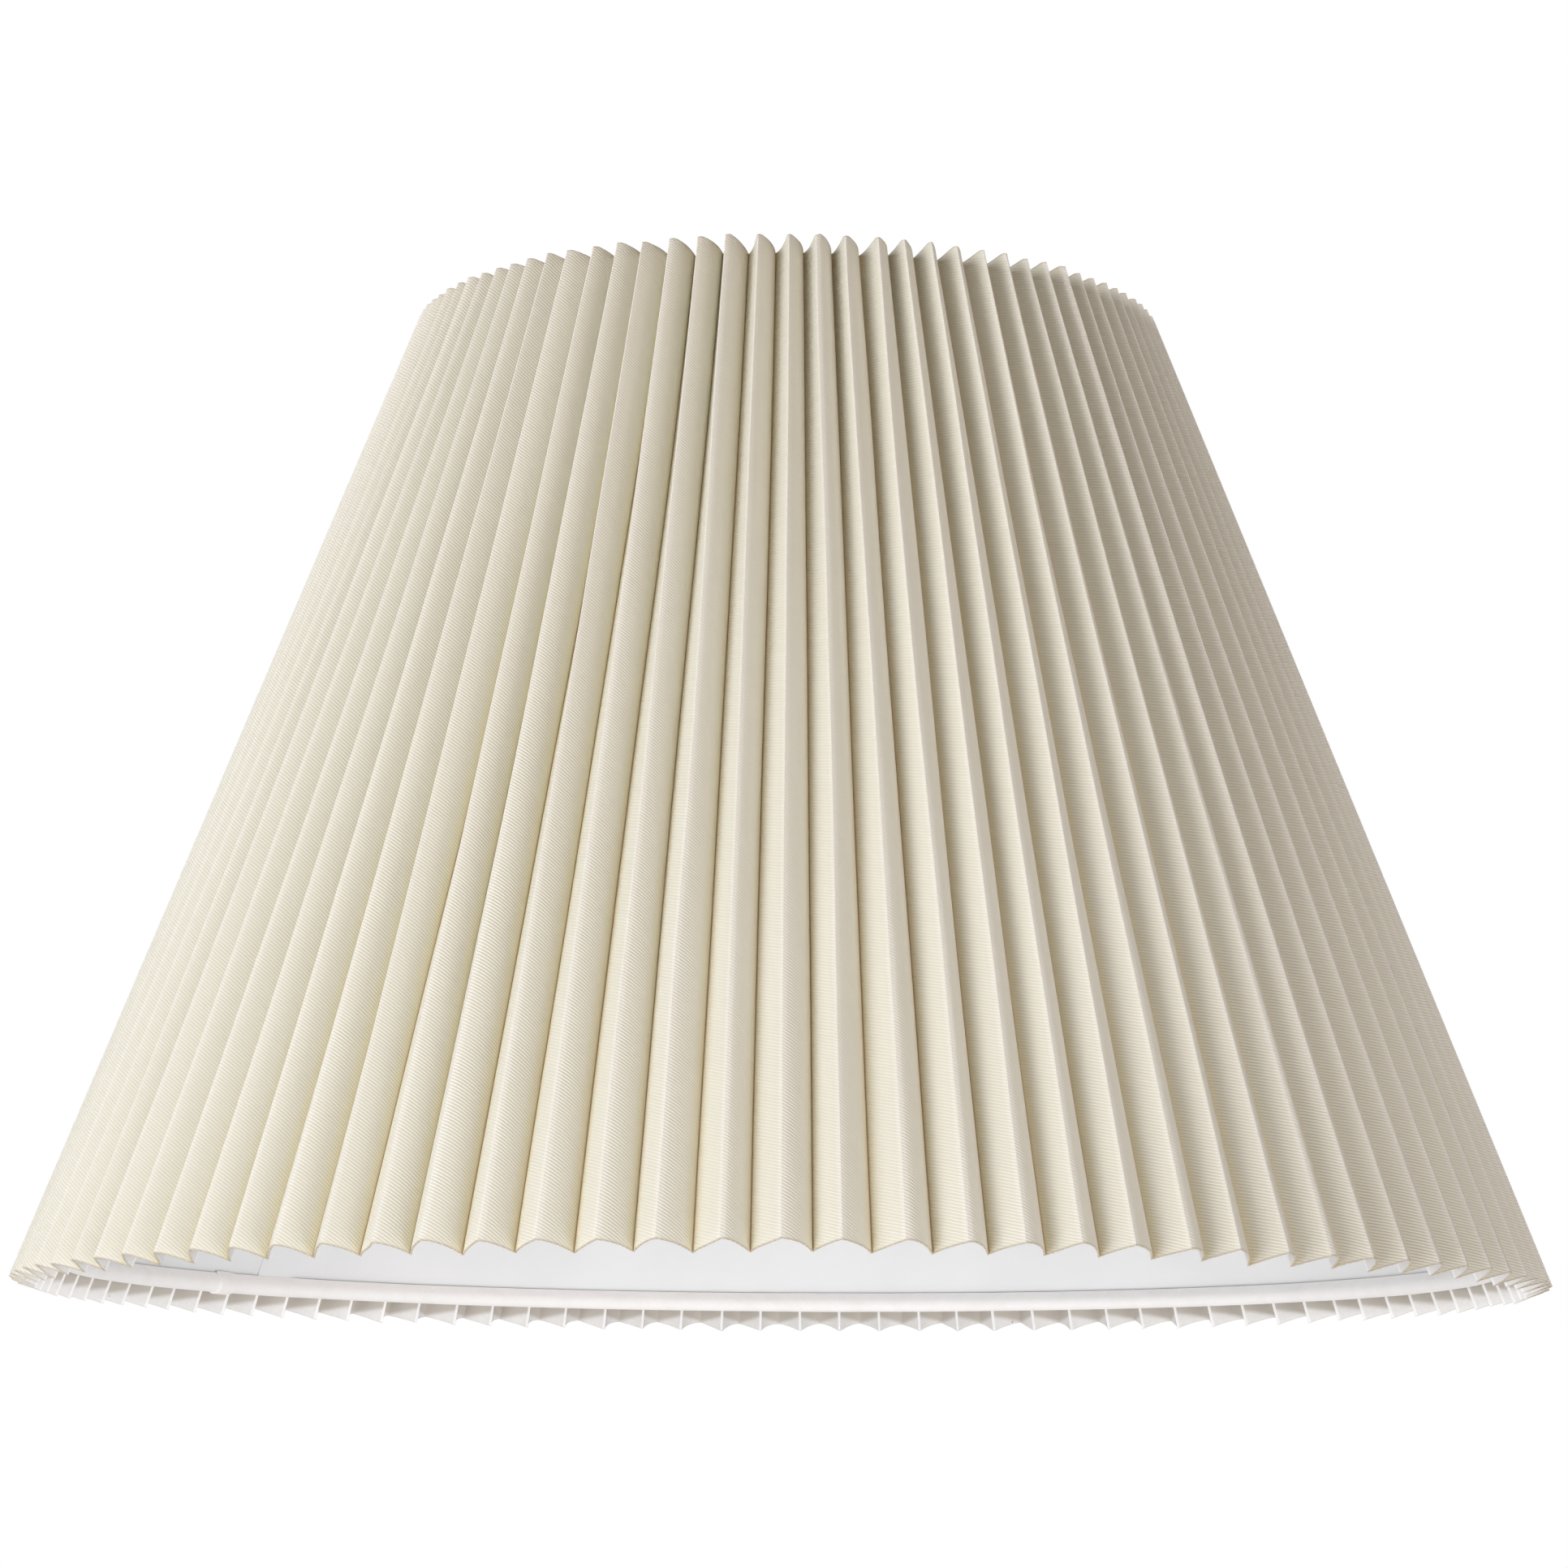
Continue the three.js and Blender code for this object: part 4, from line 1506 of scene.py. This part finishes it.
@dataclass(frozen=True)
class SoftLight:
    """A square light that faces the shade."""

    name: str
    azimuth_degrees: float
    elevation_degrees: float
    power: float
    colour: tuple[float, float, float] = (1.0, 0.985, 0.985)
    distance: float = 1.8
    size: float = 1.0


@dataclass
class Studio:
    """The floor, the lights and the camera."""

    floor_height: float = -1.15
    floor_size: float = 16.0
    backdrop_brightness: float = 1.0
    ambient: float = 0.03
    camera_distance: float = 1.259
    camera_height: float = -0.0652
    lens: float = 107.9
    sensor: float = 36.0
    clip: tuple[float, float] = (0.01, 50.0)
    pitch_degrees: float = 9.21
    roll_degrees: float = 0.38
    lights: tuple[SoftLight, ...] = (
        SoftLight("key_high", -60.0, 30.0, 12.1),
        SoftLight("key_low", -35.0, 5.0, 7.7),
        SoftLight("bounce_left", -35.0, -20.0, 9.4),
        SoftLight("bounce_front", 12.0, -20.0, 3.8),
        SoftLight("bounce_right", 40.0, -20.0, 10.6),
        SoftLight("rim_left", -90.0, -20.0, 7.0),
        SoftLight("rim_right", 75.0, -20.0, 4.4),
        SoftLight("top_right", 40.0, 60.0, 4.0, (1.0, 0.55, 0.28)),
        SoftLight("back_left", -160.0, 20.0, 9.0),
        SoftLight("back_right", 165.0, 15.0, 7.0),
    )

    def floor(self) -> None:
        """Lays the paper that the studio stands on."""
        bpy.ops.object.select_all(action="DESELECT")
        bpy.ops.mesh.primitive_plane_add(size=self.floor_size, location=(0, 0, self.floor_height))
        piece = new_piece("studio_floor")
        settle(piece, None)
        piece.data.materials.append(PaperFinish().material())
        piece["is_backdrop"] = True

    def world(self) -> None:
        """Lights everything softly from all round, in front of a white backdrop."""
        world = bpy.data.worlds.new("studio")
        bpy.context.scene.world = world
        world.use_nodes = True
        tree = world.node_tree
        tree.nodes.clear()
        rays = tree.nodes.new("ShaderNodeLightPath")
        soft = tree.nodes.new("ShaderNodeBackground")
        soft.inputs["Color"].default_value = (0.985, 0.99, 1.0, 1.0)
        soft.inputs["Strength"].default_value = self.ambient
        backdrop = tree.nodes.new("ShaderNodeBackground")
        backdrop.inputs["Strength"].default_value = self.backdrop_brightness
        backdrop.inputs["Color"].default_value = (1.0, 1.0, 1.0, 1.0)
        mix = tree.nodes.new("ShaderNodeMixShader")
        output = tree.nodes.new("ShaderNodeOutputWorld")
        tree.links.new(rays.outputs["Is Camera Ray"], mix.inputs[0])
        tree.links.new(soft.outputs[0], mix.inputs[1])
        tree.links.new(backdrop.outputs[0], mix.inputs[2])
        tree.links.new(mix.outputs[0], output.inputs["Surface"])

    def light(self, setting: SoftLight, target: Vector) -> None:
        """Hangs one light.

        Args:
            setting: The light.
            target: The place that it faces.
        """
        azimuth = math.radians(setting.azimuth_degrees)
        elevation = math.radians(setting.elevation_degrees)
        away = Vector(
            (
                math.sin(azimuth) * math.cos(elevation),
                -math.cos(azimuth) * math.cos(elevation),
                math.sin(elevation),
            )
        )
        data = bpy.data.lights.new(setting.name, "AREA")
        data.shape = "SQUARE"
        data.size = setting.size
        data.energy = setting.power
        data.color = setting.colour
        lamp = bpy.data.objects.new(setting.name, data)
        bpy.context.scene.collection.objects.link(lamp)
        lamp.location = target + away * setting.distance
        lamp.rotation_euler = away.to_track_quat("Z", "Y").to_euler()
        lamp.visible_camera = False

    def camera(self) -> None:
        """Places the camera below the shade's rim, looking up at it."""
        data = bpy.data.cameras.new("camera")
        data.lens = self.lens
        data.sensor_width = self.sensor
        data.clip_start, data.clip_end = self.clip
        camera = bpy.data.objects.new("camera", data)
        bpy.context.scene.collection.objects.link(camera)
        tilt = Matrix.Rotation(math.radians(90 + self.pitch_degrees), 4, "X")
        roll = Matrix.Rotation(math.radians(self.roll_degrees), 4, "Z")
        place = Matrix.Translation((0.0, -self.camera_distance, self.camera_height))
        camera.matrix_world = place @ tilt @ roll
        bpy.context.scene.camera = camera

    def build(self, target: Vector) -> None:
        """Builds the studio.

        Args:
            target: The middle of the shade.
        """
        self.floor()
        self.world()
        for setting in self.lights:
            self.light(setting, target)
        self.camera()
        scene = bpy.context.scene
        scene.view_settings.view_transform = "Standard"
        scene.view_settings.look = "None"
        log.info("studio: %d lights", len(self.lights))


def main() -> None:
    """Builds the shade's pieces in order, and then the studio."""
    logging.basicConfig(level=logging.INFO, format="%(message)s")
    wall = ConeWall()
    steel = ZincFinish().material()
    backing = BackingFinish().material()
    cut_edge = CutEdgeFinish().material()
    Liner(wall).build()
    on_bottom, on_top = ("bottom_wire", "liner_sheet"), ("top_wire", "liner_sheet")
    RolledTrim("bottom_roll", "bottom_trim", wall.bottom, wall, 1.0, on_bottom, seed=5).build()
    RolledTrim("top_roll", "top_trim", wall.top, wall, -1.0, on_top, seed=6).build()
    WireRing("bottom_wire", "bottom_ring", wall.bottom, wall.wire).build(steel)
    WireRing("top_wire", "top_ring", wall.top, wall.wire).build(steel)
    Spider(wall).build(steel)
    front = TwillFinish("cover_cloth")
    back = TwillFinish("cover_cloth_second", colour=(0.785, 0.762, 0.668, 1.0))
    front_length = CoverLength("cover_front_pleats", "cover_front", -63, 21, front, seed=11)
    back_length = CoverLength("cover_back_pleats", "cover_back", 21, 129, back, seed=12)
    for length in (front_length, back_length):
        length.build(backing, cut_edge)
    low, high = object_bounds()
    Studio().build((low + high) / 2)


if __name__ == "__main__":
    main()
